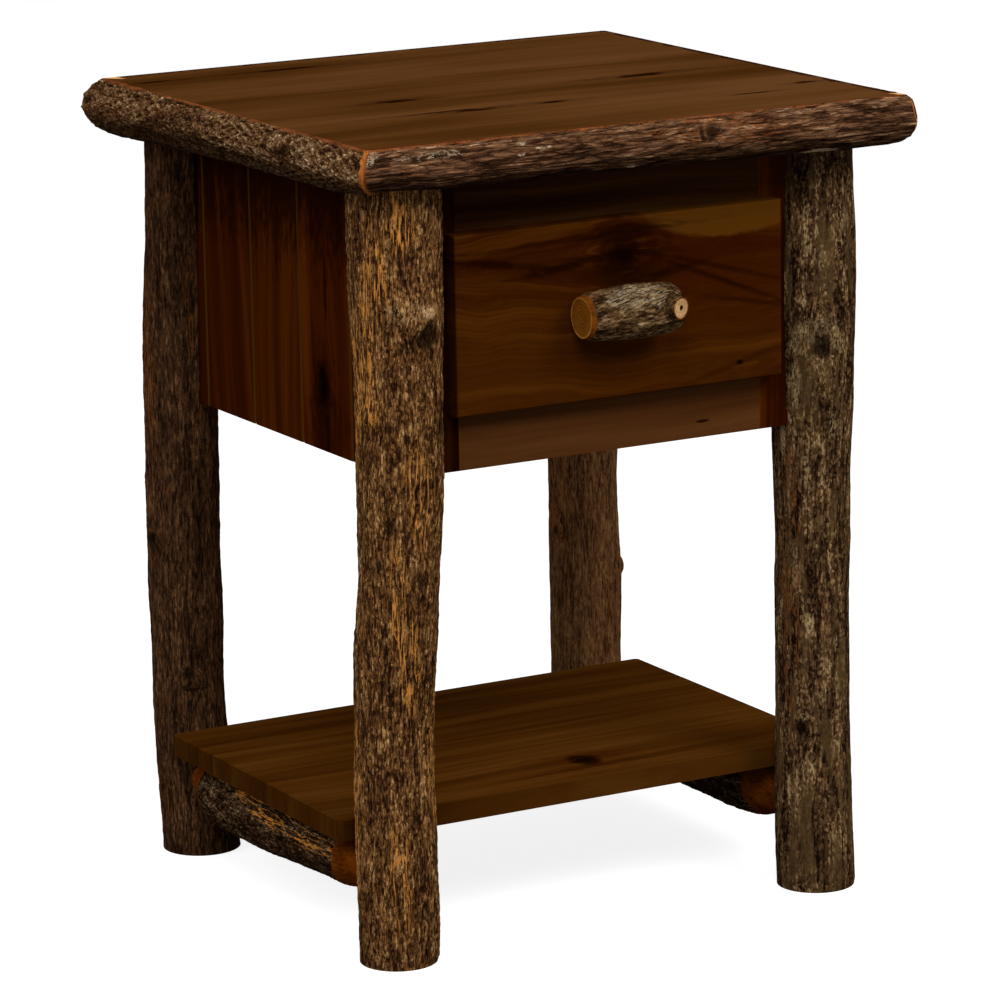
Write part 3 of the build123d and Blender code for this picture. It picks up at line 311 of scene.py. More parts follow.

# What single boards show.
MARKS = {
    "drawer_front": dict(
        seed=4.3, wave=0.02, bands=50, contrast=0.7, fine=1.15,
        knots=[(2, 594, 8, 3.3), (117, 488, 2.2, 5)],
        patches=[
            (70, 566, 120, 46, -0.1, REDDISH, 0.7, 0.5), (112, 642, 100, 42, 0, SAPWOOD, 0.9, 0.05),
            (-128, 599, 44, 3, -0.17, STREAK, 0.85, 0.7), (-62, 588, 34, 3.4, 0.12, STREAK, 0.85, 0.7),
            (44, 574, 30, 3.6, 0.16, STREAK, 0.8, 0.7), (104, 560, 60, 2.6, -0.4, STREAK, 0.75, 0.7),
            (96, 574, 64, 2.2, -0.28, STREAK, 0.6, 0.7), (130, 540, 50, 2.4, -0.2, STREAK, 0.65, 0.7),
            (-60, 611, 120, 2, 0.03, STREAK, 0.5, 0.7), (116, 488, 44, 2.4, 0.25, STREAK, 0.6, 0.7),
            (4, 596, 34, 36, 0, STREAK, 0.6, 0.7), (2, 590, 20, 22, 0, STREAK, 0.8, 0.6),
            (-20, 586, 62, 12, 0.05, STREAK, 0.3, 0.6), (-60, 500, 230, 46, 0, TAN, 0.3, 0.95),
        ],
    ),
    "side_board_left_3": dict(stain="amber", bands=60),
    "side_board_left_4": dict(
        shade=1.2325, contrast=0.5, knots=[(479, -61, 14, 1)],
        patches=[
            (563, -69, 34, 2.4, 0, STREAK, 0.8, 0.4), (433, -68, 24, 3.4, 0, STREAK, 0.8, 0.4),
            (476, -62, 42, 20, 0, STREAK, 0.55, 0.6), (500, -45, 60, 2, 0.08, STREAK, 0.5, 0.6),
            (440, -64, 30, 34, 0, STREAK, 0.5, 0.7), (481, -62, 14, 5, 0, CORE, 1, 0.4),
        ],
    ),
    "shelf_board_1": dict(
        knots=[(26, -95, 6, 1)],
        patches=[(28, -92, 46, 32, 0, REDDISH, 0.4, 0.8), (26, -95, 13, 16, 0, STREAK, 0.9, 0.4)],
    ),
    # painted shade: the top rail is darkened, as it lies in the shade of the top's overhang
    "rail_top": dict(shade=0.5),
    "rail_bottom": dict(contrast=0.5, patches=[(90, 436, 6, 1.3, 0, STREAK, 0.9, 0.4)]),
    # painted shade: the left stile is darkened, as the leg and the drawer front shade it
    "stile_left": dict(shade=0.3),
    "stile_right": dict(shade=0.95),
}
# Dark checks in the top: (x, y, half length, half width) in mm.
TOP_CHECKS = [
    (-98, 204, 24, 3.5), (-231, 203, 14, 2.5), (-110, -26, 19, 6), (-82, -110, 18, 4.5), (-6, -110, 15, 5),
    (138, -18, 23, 7), (161, -168, 16, 2.5), (231, -140, 12, 4.5), (-106, -104, 34, 2.5),
]


def paint_boards():
    """Give each board its wood. Returns that of the top, which the sawn logs round it share."""
    checks = [(x, y, 2.4 * half, 1.3 * wide, 0, CHECK, 0.45, 0.7) for x, y, half, wide in TOP_CHECKS]
    checks += [(x, y, half, wide, 0, STREAK, 0.9, 0.45) for x, y, half, wide in TOP_CHECKS]
    top = board("wood_top", "top", "X", "Y", 2.6, shade=0.9, bands=14, contrast=1.15, patches=checks)
    for order, name in enumerate(sorted(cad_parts)):
        group = next((g for g in sorted(BOARDS, key=len, reverse=True) if name.startswith(g)), None)
        if group is None or name.endswith("screws"):
            continue
        if group == "top_plank":
            paint(name, top)
            continue
        stain, grain, wide, shared = BOARDS[group]
        looks = {"stain": stain, "seed": 1.7 + order * 0.61, **shared, **MARKS.get(name, {})}
        # every side board gets the painted shade under the top over its own patches
        if group == "side_board":
            looks["patches"] = [*looks.get("patches", ()), SHADE_UNDER_TOP]
        paint(name, board("wood_" + name, grain=grain, wide=wide, **looks))
    paint("edging_dowels", board("wood_dowels", "maple", "X", "Y", 3.3))
    return top


# ---------------- bark and peeled wood

# What a bark mesh carries, from 0 to 1: its relief, and how warm, pale or dark it is. dark holds
# dark knot hollows, and also painted shade on the undersides of the edging logs and at the tops of
# two legs, under the top.
SHEETS = ("height", "warm", "pale", "dark")


def bark(name, along, tones, contrast=1, chip=(1.5, 3.2), fibre=(1.1, 9), chips=0.45, bands=0.5,
         cracks=(3, 9), cracked=0, tint=None, strand=rgb(196, 126, 50), strand_size=(4.2, 50),
         strand_width=0.05, lichen=rgb(176, 158, 124), crust=(1.8, 4), crusted=(0.38, 0.54), slope=0):
    """Varnished bark of a log that lies along an axis.

    chip, fibre, cracks, strand_size and crust are (width, length) of features, in mm. strand is the
    colour of inner bark that shows as thin strands where the mesh is warm, and lichen that of the
    crust where it is pale."""
    graph = new_graph(name)
    value, distance = graph.cells(graph.warped(graph.stretched(along, *chip), 1.6))
    threads = graph.noise(graph.stretched(along, *fibre, 3.3, slope), detail=4, roughness=0.6, distortion=0.6)
    grains = graph.noise(graph.stretched(along, 0.7, 1.3, 9.1), roughness=0.6)
    band = graph.noise(graph.stretched(along, 9, 55, 4.7))
    height, warm, pale, gloom = [graph.attribute(sheet) for sheet in SHEETS]
    tone = graph.blend(0.5, (height, 0.6 * contrast), (value, chips * contrast),
                       (threads, 1.4 * contrast), (grains, 0.8 * contrast), (band, bands))
    # the lightest tone is the bark's pale flecks and also painted glints of its varnish, as the surface has no
    # specular
    dark, body, light, fleck_and_glint = tones
    stops = ((0.05, scaled(dark, 0.35)), (0.32, dark), (0.52, body), (0.76, light), (1, fleck_and_glint))
    colour = graph.ramp(tone, *stops)
    if tint:
        area = graph.noise(graph.stretched(along, 12, 80, 5.9), detail=3, roughness=0.6)
        colour = graph.mix(graph.ease(area, 0.5, 0.62) * 0.7, colour, tint)
    splits = {"Vector": graph.warped(graph.stretched(along, *cracks, 1.7), 1.3), "Scale": 1}
    edge = graph.out("Distance", "TexVoronoi", splits, feature="DISTANCE_TO_EDGE")
    crack = graph.ease(edge, 0.13, 0.02) * cracked
    gap = graph.ease(distance, 0.6, 0.9) * (0.6 * contrast)
    colour = graph.mix(graph.math("MAXIMUM", crack, gap), colour, scaled(dark, 0.35))
    vein = graph.noise(graph.warped(graph.stretched(along, *strand_size, 6.4), 0.2, 1.2), detail=1)
    line = graph.ease(abs(vein - 0.5), strand_width, 0.3 * strand_width)
    broken = graph.ease(graph.blend(0.5, (grains, 0.9), (threads, 1.2)), 0.3, 0.46)
    glow = graph.blend(0.5, (threads, 1.5), (grains, 1))
    strand_colour = graph.ramp(glow, (0.25, scaled(strand, 0.35)), (0.7, strand))
    colour = graph.mix(line * broken * warm * 0.85, colour, strand_colour)
    cover = graph.noise(graph.stretched(along, *crust, 8.3, slope), detail=3, roughness=0.7)
    mottle = graph.noise(graph.stretched(along, 2.5, 4, 7.1, slope), detail=3, roughness=0.6)
    crust_stops = [(at, scaled(lichen, part)) for at, part in ((0.3, 0.4), (0.5, 0.75), (0.7, 1.15))]
    scaly = graph.ramp(mottle, *crust_stops)
    scaly = graph.mix(pale * pale, scaled(lichen, 0.12), scaly)
    covered = graph.ease(cover + (pale - 1) * 0.35, *crusted)
    colour = graph.mix(covered * 0.85, colour, scaly)
    # the dark sheet: dark knot hollows, and painted shade where the mesh carries it
    colour = graph.mix(gloom * 0.85, colour, scaled(dark, 0.3))
    relief = graph.blend(0.5, (threads, 1.2), (grains, 0.7), (value, 0.4), (crack, -1))
    return graph.wood_surface(colour, grains * 0.3 + 0.5, relief, 0.6 * contrast, 1)


def bare_wood(name, dark, light, along, centre=None, pitch=0, rim=None, pith=None):
    """Peeled or cut wood: streaks along the log, and on a cut end rings round a centre.

    pitch is from ring to ring, rim is (radius, colour) of what lies outside that radius, and pith is
    (radius, colour) of the core, in mm."""
    graph = new_graph(name)
    streak = graph.noise(graph.stretched(along, 2, 16), detail=3)
    blotch = graph.noise(graph.place(), scale=70, detail=3)
    tone = graph.blend(0.5, (streak, 0.8), (blotch, 0.8))
    if centre is not None:
        parts = zip(graph.split(graph.place()), centre, AXES)
        far = graph.length(*[part - middle for part, middle, axis in parts if axis != along])
        distance = graph.blend(far, (blotch, 4 * MM))
        tone = tone + graph.math("SINE", distance * (2 * pi / (pitch * MM))) * 0.12
    colour = graph.ramp(tone, (0.25, dark), (0.75, light))
    for zone, soft in ((rim, 1.2), (pith, -0.6)):
        if zone:
            radius, zone_colour = zone
            share = graph.ease(distance, (radius - soft) * MM, (radius + soft) * MM)
            colour = graph.mix(share, colour, zone_colour)
    return graph.wood_surface(colour, 0.5, streak, 0.3, 0.4)


def metal(name, tone, roughness):
    graph = new_graph(name)
    streak = graph.noise(graph.place(), scale=900)
    colour = graph.ramp(streak, (0.3, scaled(tone, 0.8)), (0.7, tone))
    return graph.surface(colour, streak * 0.1 + roughness, Metallic=1)


# ---------------- random fields


def field(rng, shape, size, along, across):
    """A smooth random field with unit spread, periodic both ways.

    size is the sheet's (length, width), along and across are how far its features run, all in mm."""
    rows = np.fft.fftfreq(shape[0], size[0] / shape[0])
    columns = np.fft.rfftfreq(shape[1], size[1] / shape[1])
    damp = np.exp(-2 * pi**2 * ((rows[:, None] * along) ** 2 + (columns[None] * across) ** 2))
    smooth = np.fft.irfft2(np.fft.rfft2(rng.standard_normal(shape)) * damp, shape)
    return (smooth - smooth.mean()) / smooth.std()


def smoothstep(value, low, high):
    share = np.clip((value - low) / (high - low), 0, 1)
    return share * share * (3 - 2 * share)


def sample(values, rows, columns):
    """Values of a sheet between its grid points. It wraps both ways."""
    row, column = np.floor(rows).astype(int), np.floor(columns).astype(int)
    u, v = rows - row, columns - column
    height, width = values.shape

    def at(i, j):
        return values[(row + i) % height, (column + j) % width]

    return (at(0, 0) * (1 - u) + at(1, 0) * u) * (1 - v) + (at(0, 1) * (1 - u) + at(1, 1) * u) * v


def circle(count):
    """Angles once round."""
    return np.arange(count) * 2 * pi / count


def bark_sheet(seed, shape, size, ridge=1.6, run=9.0, rough=0.7, lumps=0.5, warm=0.0, pale=0.0,
               knots=(), marks=(), swells=(), net=0.0, mesh=(4.0, 11.0)):
    """Lift in metres and colour sheets of one log's bark, rows along the log and columns round it.

    ridge and run are the width and length of its ridges in mm, rough is the weight of its relief and
    lumps that of its broad unevenness, and warm and pale say how much of each shows. knots are
    (along, round, radius) in mm, and swells are broad bumps: (along, round, half length, half width,
    height). marks holds lists of (along, round, half length, half width, force) by kind. A plain
    mark clears what is warm or pale, a dent is a dark hollow, and an arch is the upper half of a
    pale ring. net is how strongly the ridges braid into diamonds, and mesh is a diamond's (width,
    length)."""
    rng = np.random.default_rng(seed)
    step_along, step_round = size[0] / shape[0], size[1] / shape[1]
    rows, columns = np.meshgrid(np.arange(shape[0]), np.arange(shape[1]), indexing="ij")

    def draw(along, across):
        return field(rng, shape, size, along, across)

    def offsets(along, around):
        round_off = (columns * step_round - around + size[1] / 2) % size[1] - size[1] / 2
        return rows * step_along - along, round_off

    wander = draw(3 * run, 4 * ridge) * 1.5 * ridge
    shifted = columns + wander / step_round
    swirl, pit = np.zeros(shape), np.zeros(shape)
    for along, around, radius in knots:
        off_along, off_round = offsets(along, around)
        distance = np.hypot(off_along * 0.9, off_round)
        near = np.exp(-((distance / (1.2 * radius)) ** 2))
        shifted = shifted - np.sign(off_round) * near * radius * 0.5 / step_round
        swirl += near * np.cos(distance / radius * 10 + wander * 0.4)
        pit = np.maximum(pit, smoothstep(distance, radius * 0.5, radius * 0.15))
    furrow = np.exp(-((sample(draw(run, ridge), rows, shifted) / 0.35) ** 2))
    crack = np.exp(-((sample(draw(run * 0.4, ridge * 0.6), rows, shifted) / 0.3) ** 2))
    fine = sample(draw(run * 0.2, ridge * 0.4), rows, shifted)
    flake = smoothstep(draw(run * 0.5, ridge * 1.6), 0.1, 0.5)
    lump = draw(26.0, 12.0)
    relief = -0.8 * furrow - 0.4 * crack + 0.3 * fine + 0.3 * flake + 0.45 * swirl - 1.6 * pit
    sheets = {
        "height": 0.68 - 0.42 * furrow - 0.22 * crack + 0.1 * fine + 0.1 * flake + 0.08 * swirl,
        "warm": smoothstep(draw(60.0, 12.0), 1.4 - 2.2 * warm, 2.0 - 2.2 * warm),
        "pale": smoothstep(draw(22.0, 7.0), 2.6 - 2.2 * pale, 3.2 - 2.2 * pale) * (pale > 0),
        "dark": pit,
    }
    if net:
        turn = 2 * pi * columns * step_round / mesh[0]
        climb = 2 * pi * rows * step_along / mesh[1]
        slips = [draw(1.1 * mesh[1], 1.1 * mesh[0]) * 2.2 for _ in range(2)]
        strands = [np.cos(turn + climb + slips[0]), np.cos(turn - climb + slips[1])]
        worn = smoothstep(draw(1.4 * mesh[1], 1.4 * mesh[0]), -1.6, 0.6)
        braid = np.maximum(*strands) * worn
        relief += net * 1.1 * braid
        sheets["height"] += net * 0.42 * (braid - 0.35)
    for kind, places in dict(marks).items():
        sheet = {"dent": "dark", "arch": "pale"}.get(kind, kind)
        for along, around, half_along, half_round, force in places:
            off_along, off_round = offsets(along, around)
            edge = np.hypot(off_along / half_along, off_round / half_round) + 0.12 * lump + 0.08 * fine
            share = smoothstep(edge, 1.2, 0.6) * force
            if kind == "plain":
                sheets["warm"] *= 1 - share
                sheets["pale"] *= 1 - share
                continue
            if kind == "dent":
                relief -= 2.0 * share
            elif kind == "arch":
                share = smoothstep(np.abs(edge - 0.8), 0.4, 0.1) * (off_along > -0.2 * half_along) * force
                relief += 1.6 * share
            sheets[sheet] = np.maximum(sheets[sheet], share)
    lift = rough * (relief - relief.mean()) + lumps * lump
    for along, around, half_along, half_round, height in swells:
        off_along, off_round = offsets(along, around)
        lift += height * np.exp(-((off_along / half_along) ** 2) - (off_round / half_round) ** 2)
    return lift * MM, {name: np.clip(sheets[name], 0, 1) for name in SHEETS}


# ---------------- skins of the CAD logs


def skin_radii(node, start, along, side, third, stations, angles, reach, lean=0.6):
    """Distance from a line to the skin of a CAD node, for each station on the line and each angle.

    A ray that misses, or hits a face that looks along the line, gives no number."""
    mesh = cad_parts[node].data
    tree = BVHTree.FromPolygons([v.co for v in mesh.vertices], [tuple(p.vertices) for p in mesh.polygons])
    radii = np.full((len(stations), len(angles)), np.nan)
    rays = [side * cos(angle) + third * sin(angle) for angle in angles]
    for i, station in enumerate(stations):
        centre = start + along * station
        for j, ray in enumerate(rays):
            hit, normal, _, distance = tree.ray_cast(centre + ray * reach, -ray, reach)
            if hit is not None and abs(normal.dot(along)) < lean:
                radii[i, j] = reach - distance
    return radii


def fill(radii, low_share=0.72, wrap=True):
    """Fill gaps, and hits in holes under low_share of the skin's radius, from their neighbours."""
    angles = np.arange(radii.shape[1])
    period = len(angles) if wrap else None
    for row in radii:
        if np.isnan(row).all():
            continue
        row[row < low_share * np.nanpercentile(row, 75)] = np.nan
        good = ~np.isnan(row)
        if good.sum() > len(row) // 2:
            row[:] = np.interp(angles, angles[good], row[good], period=period)
    stations = np.arange(radii.shape[0])
    for column in radii.T:
        good = ~np.isnan(column)
        column[:] = np.interp(stations, stations[good], column[good])
    return radii


def refine(values, shape, wrap):
    """Resample a coarse sheet onto a finer grid."""
    rows = np.linspace(0, values.shape[0] - 1, shape[0])
    middle = np.array([np.interp(rows, np.arange(values.shape[0]), column) for column in values.T]).T
    count = values.shape[1]
    places = np.arange(shape[1]) * count / shape[1] if wrap else np.linspace(0, count - 1, shape[1])
    period = count if wrap else None
    return np.array([np.interp(places, np.arange(count), row, period=period) for row in middle])


# ---------------- meshes


def grid_faces(rows, columns):
    """Quads of a grid of points that closes on itself from its last column to its first."""
    row, column = np.meshgrid(np.arange(rows - 1), np.arange(columns), indexing="ij")
    following = (column + 1) % columns
    corners = [row * columns + column, row * columns + following,
               (row + 1) * columns + following, (row + 1) * columns + column]
    return np.stack(corners, axis=-1).reshape(-1, 4).tolist()


def add_object(name, data):
    """A new object, linked into the scene."""
    made = bpy.data.objects.new(name, data)
    bpy.context.scene.collection.objects.link(made)
    return made


def plain_level(sheet):
    """What a colour sheet holds where there is no bark."""
    return 0.5 if sheet == "height" else 0.0


class Skin:
    """Points, faces and colour sheets of one piece, gathered part by part."""

    def __init__(self):
        self.points = np.zeros((0, 3))
        self.faces = []
        self.materials = []
        self.sheets = {name: np.zeros(0) for name in SHEETS}

    def extend(self, points, faces, materials, sheets=None):
        first = len(self.points)
        self.points = np.vstack([self.points, points])
        self.faces += [[first + index for index in face] for face in faces]
        self.materials += materials
        for name in SHEETS:
            values = sheets[name].ravel() if sheets else np.full(len(points), plain_level(name))
            self.sheets[name] = np.concatenate([self.sheets[name], values])

    def tube(self, points, sheets, column_materials, cap_material):
        """A closed tube from a (rows, columns, 3) grid, with a fan on each end."""
        rows, columns = points.shape[:2]
        materials = np.broadcast_to(column_materials, (rows - 1, columns)).ravel().tolist()
        self.extend(points.reshape(-1, 3), grid_faces(rows, columns), materials, sheets)
        fan = [[columns + j, 2 * columns, columns + (j + 1) % columns] for j in range(columns)]
        for rim in (points[0], points[-1]):
            centre = rim.mean(axis=0)
            rings = [rim, centre + (rim - centre) * 0.5, centre[None]]
            self.extend(np.vstack(rings), grid_faces(2, columns) + fan, [cap_material] * (2 * columns))

    def piece(self, name, body, materials, node):
        """Make the finished object, which stands for its CAD node."""
        mesh = bpy.data.meshes.new(name)
        mesh.from_pydata(self.points.tolist(), [], self.faces)
        for material in materials:
            mesh.materials.append(material)
        mesh.polygons.foreach_set("material_index", np.asarray(self.materials, np.int32))
        for key, values in self.sheets.items():
            attribute = mesh.attributes.new(key, "FLOAT", "POINT")
            attribute.data.foreach_set("value", np.asarray(values, np.float32))
        work = bmesh.new()
        work.from_mesh(mesh)
        bmesh.ops.remove_doubles(work, verts=work.verts, dist=1e-7)
        bmesh.ops.recalc_face_normals(work, faces=work.faces)
        for edge in work.edges:
            edge.smooth = len({face.material_index for face in edge.link_faces}) == 1
        for face in work.faces:
            face.smooth = True
        work.to_mesh(mesh)
        work.free()
        made = add_object(name, mesh)
        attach(made, body)
        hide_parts(node)


# ---------------- legs

LEG_SHAPE = (330, 290)  # rows and columns of a leg's mesh, and below of the rays that feel its solid
LEG_COARSE = (170, 96)
LEG_RADIUS = 34.5 * MM
LEG_REACH = 75 * MM  # rays start this far from the axis
END_MARGIN = 0.05 * MM  # rays stay this far inside the ends of a solid
CASE_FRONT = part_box("stile_left")[0].y
CASE_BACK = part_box("back_panel")[1].y
CASE_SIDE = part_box("side_board_right_2")[1].x
CASE_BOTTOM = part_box("stile_left")[0].z
LEG_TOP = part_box("leg_front_left")[1].z
LEG_INBOARD = 2.75 * MM  # case side, inboard of the leg axes
FRONT_AXIS = 12.0 * MM  # front leg axes, behind the face frame
REAR_AXIS = 4.0 * MM  # rear leg axes, behind the case back
LEDGE_STEP = 0.3 * MM  # height over which a leg steps in to its notch

# Looks of each leg's bark, as bark_sheet takes them. Knots, swells and marks start with their height
# in mm and their direction in degrees, seen from above, from +X.
LEG_BARK = {
    "front_left": dict(
        seed=11, ridge=1.5, run=10, rough=0.75, warm=0.4, pale=0.08,
        swells=[(465, 151, 90, 30, -4.5), (567, -92, 15, 17, 2.6)],
        knots=[(549, -72, 17), (480, 196, 14), (205, -60, 10)],
        marks={
            "pale": [(566, -73, 8, 8, 1), (568, -98, 13, 20, 0.7), (499, -165, 12, 9, 0.6)],
            "dent": [(547, -73, 14, 11, 1)],
            "arch": [(552, -90, 26, 22, 0.5)],
            "dark": [(540, -86, 10, 9, 0.4)],
            "warm": [(600, -128, 60, 9, 1), (645, -100, 34, 10, 1), (560, -143, 50, 8, 1),
                     (325, -108, 60, 9, 1), (270, -96, 45, 10, 1)],
        },
    ),
    "front_right": dict(
        seed=23, ridge=2, run=22, rough=0.5, warm=0.05, pale=0.42, swells=[(560, -29, 40, 20, 1.8)],
        knots=[(494, -109, 23), (549, 8, 13), (151, -140, 18)],
        marks={
            "plain": [(268, -117, 14, 12, 1)],
            "pale": [
                (606, -129, 11, 4, 0.8), (592, -115, 12, 3, 0.85), (570, -108, 16, 4, 0.8),
                (598, -70, 17, 6, 0.75), (584, -128, 16, 5, 0.7), (503, -110, 17, 17, 0.72),
                (506, -130, 10, 4, 0.85), (506, -90, 10, 4, 0.85), (459, -145, 30, 5, 0.85),
                (418, -92, 22, 6, 0.75), (415, -169, 26, 4, 0.9), (380, -130, 30, 4, 0.75),
                (293, -149, 32, 5, 0.8), (226, -83, 9, 3, 0.9), (160, -142, 6, 12, 0.8),
            ],
            "dent": [(487, -107, 7, 11, 1)],
            "arch": [(489, -109, 32, 28, 0.82), (486, -109, 17, 17, 0.78)],
            "warm": [(490, -118, 4, 5, 1)],
            # The first dark mark is painted shade over the top of the leg, under the top; the second is a
            # narrow dark strip down its side.
            "dark": [(660, -120, 40, 30, 0.5), (600, -178, 90, 9, 0.6)],
        },
    ),
    "rear_left": dict(
        seed=37, ridge=1.5, run=14, rough=0.6, warm=0.3, swells=[(215, -29, 45, 25, 3)],
        knots=[(295, 186, 15), (171, -117, 15)],
        # The dark mark is painted shade over the top of the leg, under the top.
        marks={"warm": [(52, -162, 14, 2, 1)], "dark": [(620, -120, 150, 70, 0.35)]},
    ),
    "rear_right": dict(
        seed=41, ridge=1.4, run=20, rough=0.55, warm=0.3, swells=[(190, -29, 60, 25, 3)],
        knots=[(206, -10, 14), (247, 190, 12)], marks={},
    ),
}


def notch(points, corner):
    """Move the points of one row that fall inside the case onto the two faces of the notch."""
    x_sign = 1 if corner.endswith("left") else -1
    y_sign = 1 if corner.startswith("front") else -1
    face_x = -CASE_SIDE * x_sign
    face_y = CASE_FRONT if y_sign > 0 else CASE_BACK
    inside = ((points[:, 0] - face_x) * x_sign > 0) & ((points[:, 1] - face_y) * y_sign > 0)
    count = len(points)
    shift = next(i for i in range(count) if not inside[i])
    order = [(shift + i) % count for i in range(count) if inside[(shift + i) % count]]
    if not order:
        return
    before, after = points[order[0] - 1], points[(order[-1] + 1) % count]
    on_front = abs(before[1] - face_y) < abs(before[0] - face_x)
    first = (before[0], face_y) if on_front else (face_x, before[1])
    last = (face_x, after[1]) if on_front else (after[0], face_y)
    for rank, index in enumerate(order):
        share = 2 * (rank + 0.5) / len(order)
        start, end = (first, (face_x, face_y)) if share < 1 else ((face_x, face_y), last)
        share = share % 1
        points[index, 0] = start[0] + (end[0] - start[0]) * share
        points[index, 1] = start[1] + (end[1] - start[1]) * share


def leg(corner, materials):
    """A bark-on pole, notched for the case."""
    node = "leg_" + corner
    x_side = -1 if corner.endswith("left") else 1
    y = CASE_FRONT + FRONT_AXIS if corner.startswith("front") else CASE_BACK + REAR_AXIS
    foot = Vector((x_side * (CASE_SIDE + LEG_INBOARD), y, 0))
    felt = np.linspace(END_MARGIN, LEG_TOP - END_MARGIN, LEG_COARSE[0])
    coarse = skin_radii(node, foot, Z_WAY, X_WAY, Y_WAY, felt, circle(LEG_COARSE[1]), LEG_REACH)
    coarse = fill(coarse)
    girth = 2 * pi * LEG_RADIUS / MM

    def placed(spots):
        """Spots with their direction turned into mm round the leg."""
        return [(z, turn % 360 / 360 * girth, *sizes) for z, turn, *sizes in spots]

    looks = dict(LEG_BARK[corner])
    looks["knots"], looks["swells"] = placed(looks["knots"]), placed(looks["swells"])
    looks["marks"] = {kind: placed(spots) for kind, spots in looks["marks"].items()}
    lift, sheets = bark_sheet(shape=LEG_SHAPE, size=(LEG_TOP / MM, girth), **looks)
    lift[:2] *= np.array([[0.0], [0.5]])
    stations = np.linspace(0, LEG_TOP, LEG_SHAPE[0])
    ledge = np.searchsorted(stations, CASE_BOTTOM)
    stations[ledge - 1], stations[ledge] = CASE_BOTTOM - LEDGE_STEP, CASE_BOTTOM
    radii = refine(coarse, LEG_SHAPE, True) + lift
    angles = circle(LEG_SHAPE[1])
    points = np.stack([foot.x + radii * np.cos(angles), foot.y + radii * np.sin(angles),
                       np.broadcast_to(stations[:, None], LEG_SHAPE)], axis=-1)
    for row in points[ledge:]:
        notch(row, corner)
    skin = Skin()
    skin.tube(points, sheets, 0, 1)
    skin.piece(node + "_bark", "table", materials, node)


# ---------------- edging of the top

TOP_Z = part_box("top_plank_1")[1].z
PLANK_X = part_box("top_plank_1")[1].x
PLANK_Y = max(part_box(name)[1].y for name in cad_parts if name.startswith("top_plank"))
EDGE_AXIS_OUT = 1.0 * MM  # log axis, outboard of the planks
EDGE_AXIS_DOWN = 21.0 * MM  # log axis, below the top
EDGE_REACH = 60 * MM
EDGE_COARSE = (60, 60)
EDGE_INSET = 2 * MM  # rays stay this far inside the mitres
EDGE_SHAPE = (480, 84)  # rows along a log, and columns from its arris to under it
END_RUN = 70 * MM  # length over which a log's ends depart from its solid
PEEL_ROWS = 5
BARK_STEP = 0.9 * MM  # step from the bark down to a shaved mitre
PEEL_DEPTH = 2.4 * MM
EDGE_UNDERCUT = 2.5 * MM
BARK, SAWN, RIM_BARK, SHAVED, FRESH = range(5)

# How each log is worked. peel: width shaved off at its two mitres, in mm, and what shows there.
# rim: inner bark on the sawn top, in mm. bare: columns of it below the arris. trim, belly and flare,
# in mm at the two ends: off the radius all round, off it on the underside, and added beside the
# arris. shade: where the painted shade on the underside starts and is full, in radians below the
# axis. fresh: rows of pale wood at the first end, on the sawn top and on its rim. cap: what shows on
# the ends.
EDGE_PLAIN = dict(
    peel=((2.8, SHAVED), (2.8, SHAVED)), rim=6, bare=0, trim=(0, 0), belly=(0, 0), flare=(0, 0),
    shade=(0.15, 1), fresh=(0, 0), cap=SHAVED,
)
EDGE_WORK = {
    "front": dict(peel=((4, RIM_BARK), (3.2, SHAVED)), rim=2, bare=1.4, trim=(0, 3), belly=(3.5, -2.6),
                  flare=(0, 4.6)),
    "left": dict(peel=((3.6, SHAVED), (2.8, SHAVED)), rim=2.6, bare=1.2, belly=(3.5, 0), shade=(-0.1, 0.7)),
    "right": dict(peel=((0.8, BARK), (2.8, SHAVED)), trim=(3.6, 0), belly=(2.5, 0), flare=(4.6, 0),
                  fresh=(0, 14), cap=RIM_BARK),
    "rear": dict(fresh=(7, 14)),
}

EDGE_BARK = {
    "front": dict(
        seed=53, ridge=1.7, run=26, rough=0.75, warm=0.06, pale=0.1, knots=[(302, 15, 16)],
        marks={
            # Of the pale marks, (55, 10) is a painted highlight along the upper side, and the two at 133 are
            # painted glints.
            "pale": [(231, 42, 5, 4, 1), (55, 10, 34, 5, 0.75), (2, 8, 7, 7, 0.9), (133, 8, 6, 3, 1),
                     (133, 17, 5, 2, 1), (152, 13, 12, 2, 0.9), (302, 12, 17, 12, 0.5), (306, 42, 5, 3, 0.8)],
            "dent": [(294, 16, 4, 9, 1)],
            "warm": [(38, 22, 7, 6, 1), (362, 16, 12, 5, 1), (255, 12, 14, 4, 1)],
        },
    ),
    "left": dict(
        seed=59, ridge=2.4, run=8, rough=1.2, warm=0.05, net=0.85, mesh=(8, 20),
        knots=[(470, 24, 13)], marks={"warm": [(500, 40, 6, 5, 1)]}, swells=[(250, 51, 190, 24, -9)],
    ),
    "right": dict(seed=61, run=8, rough=0.8, lumps=0.25, warm=0.05, net=0.7),
    "rear": dict(seed=67, rough=0.8, warm=0.05, net=0.7),
}


def end_loss(stations, half_run, ends):
    """What a log loses towards its two ends, in mm, as a column."""
    near = half_run - END_RUN
    first, last = [loss * smoothstep(way * stations, near, half_run) for loss, way in zip(ends, (-1, 1))]
    return (first + last)[:, None]


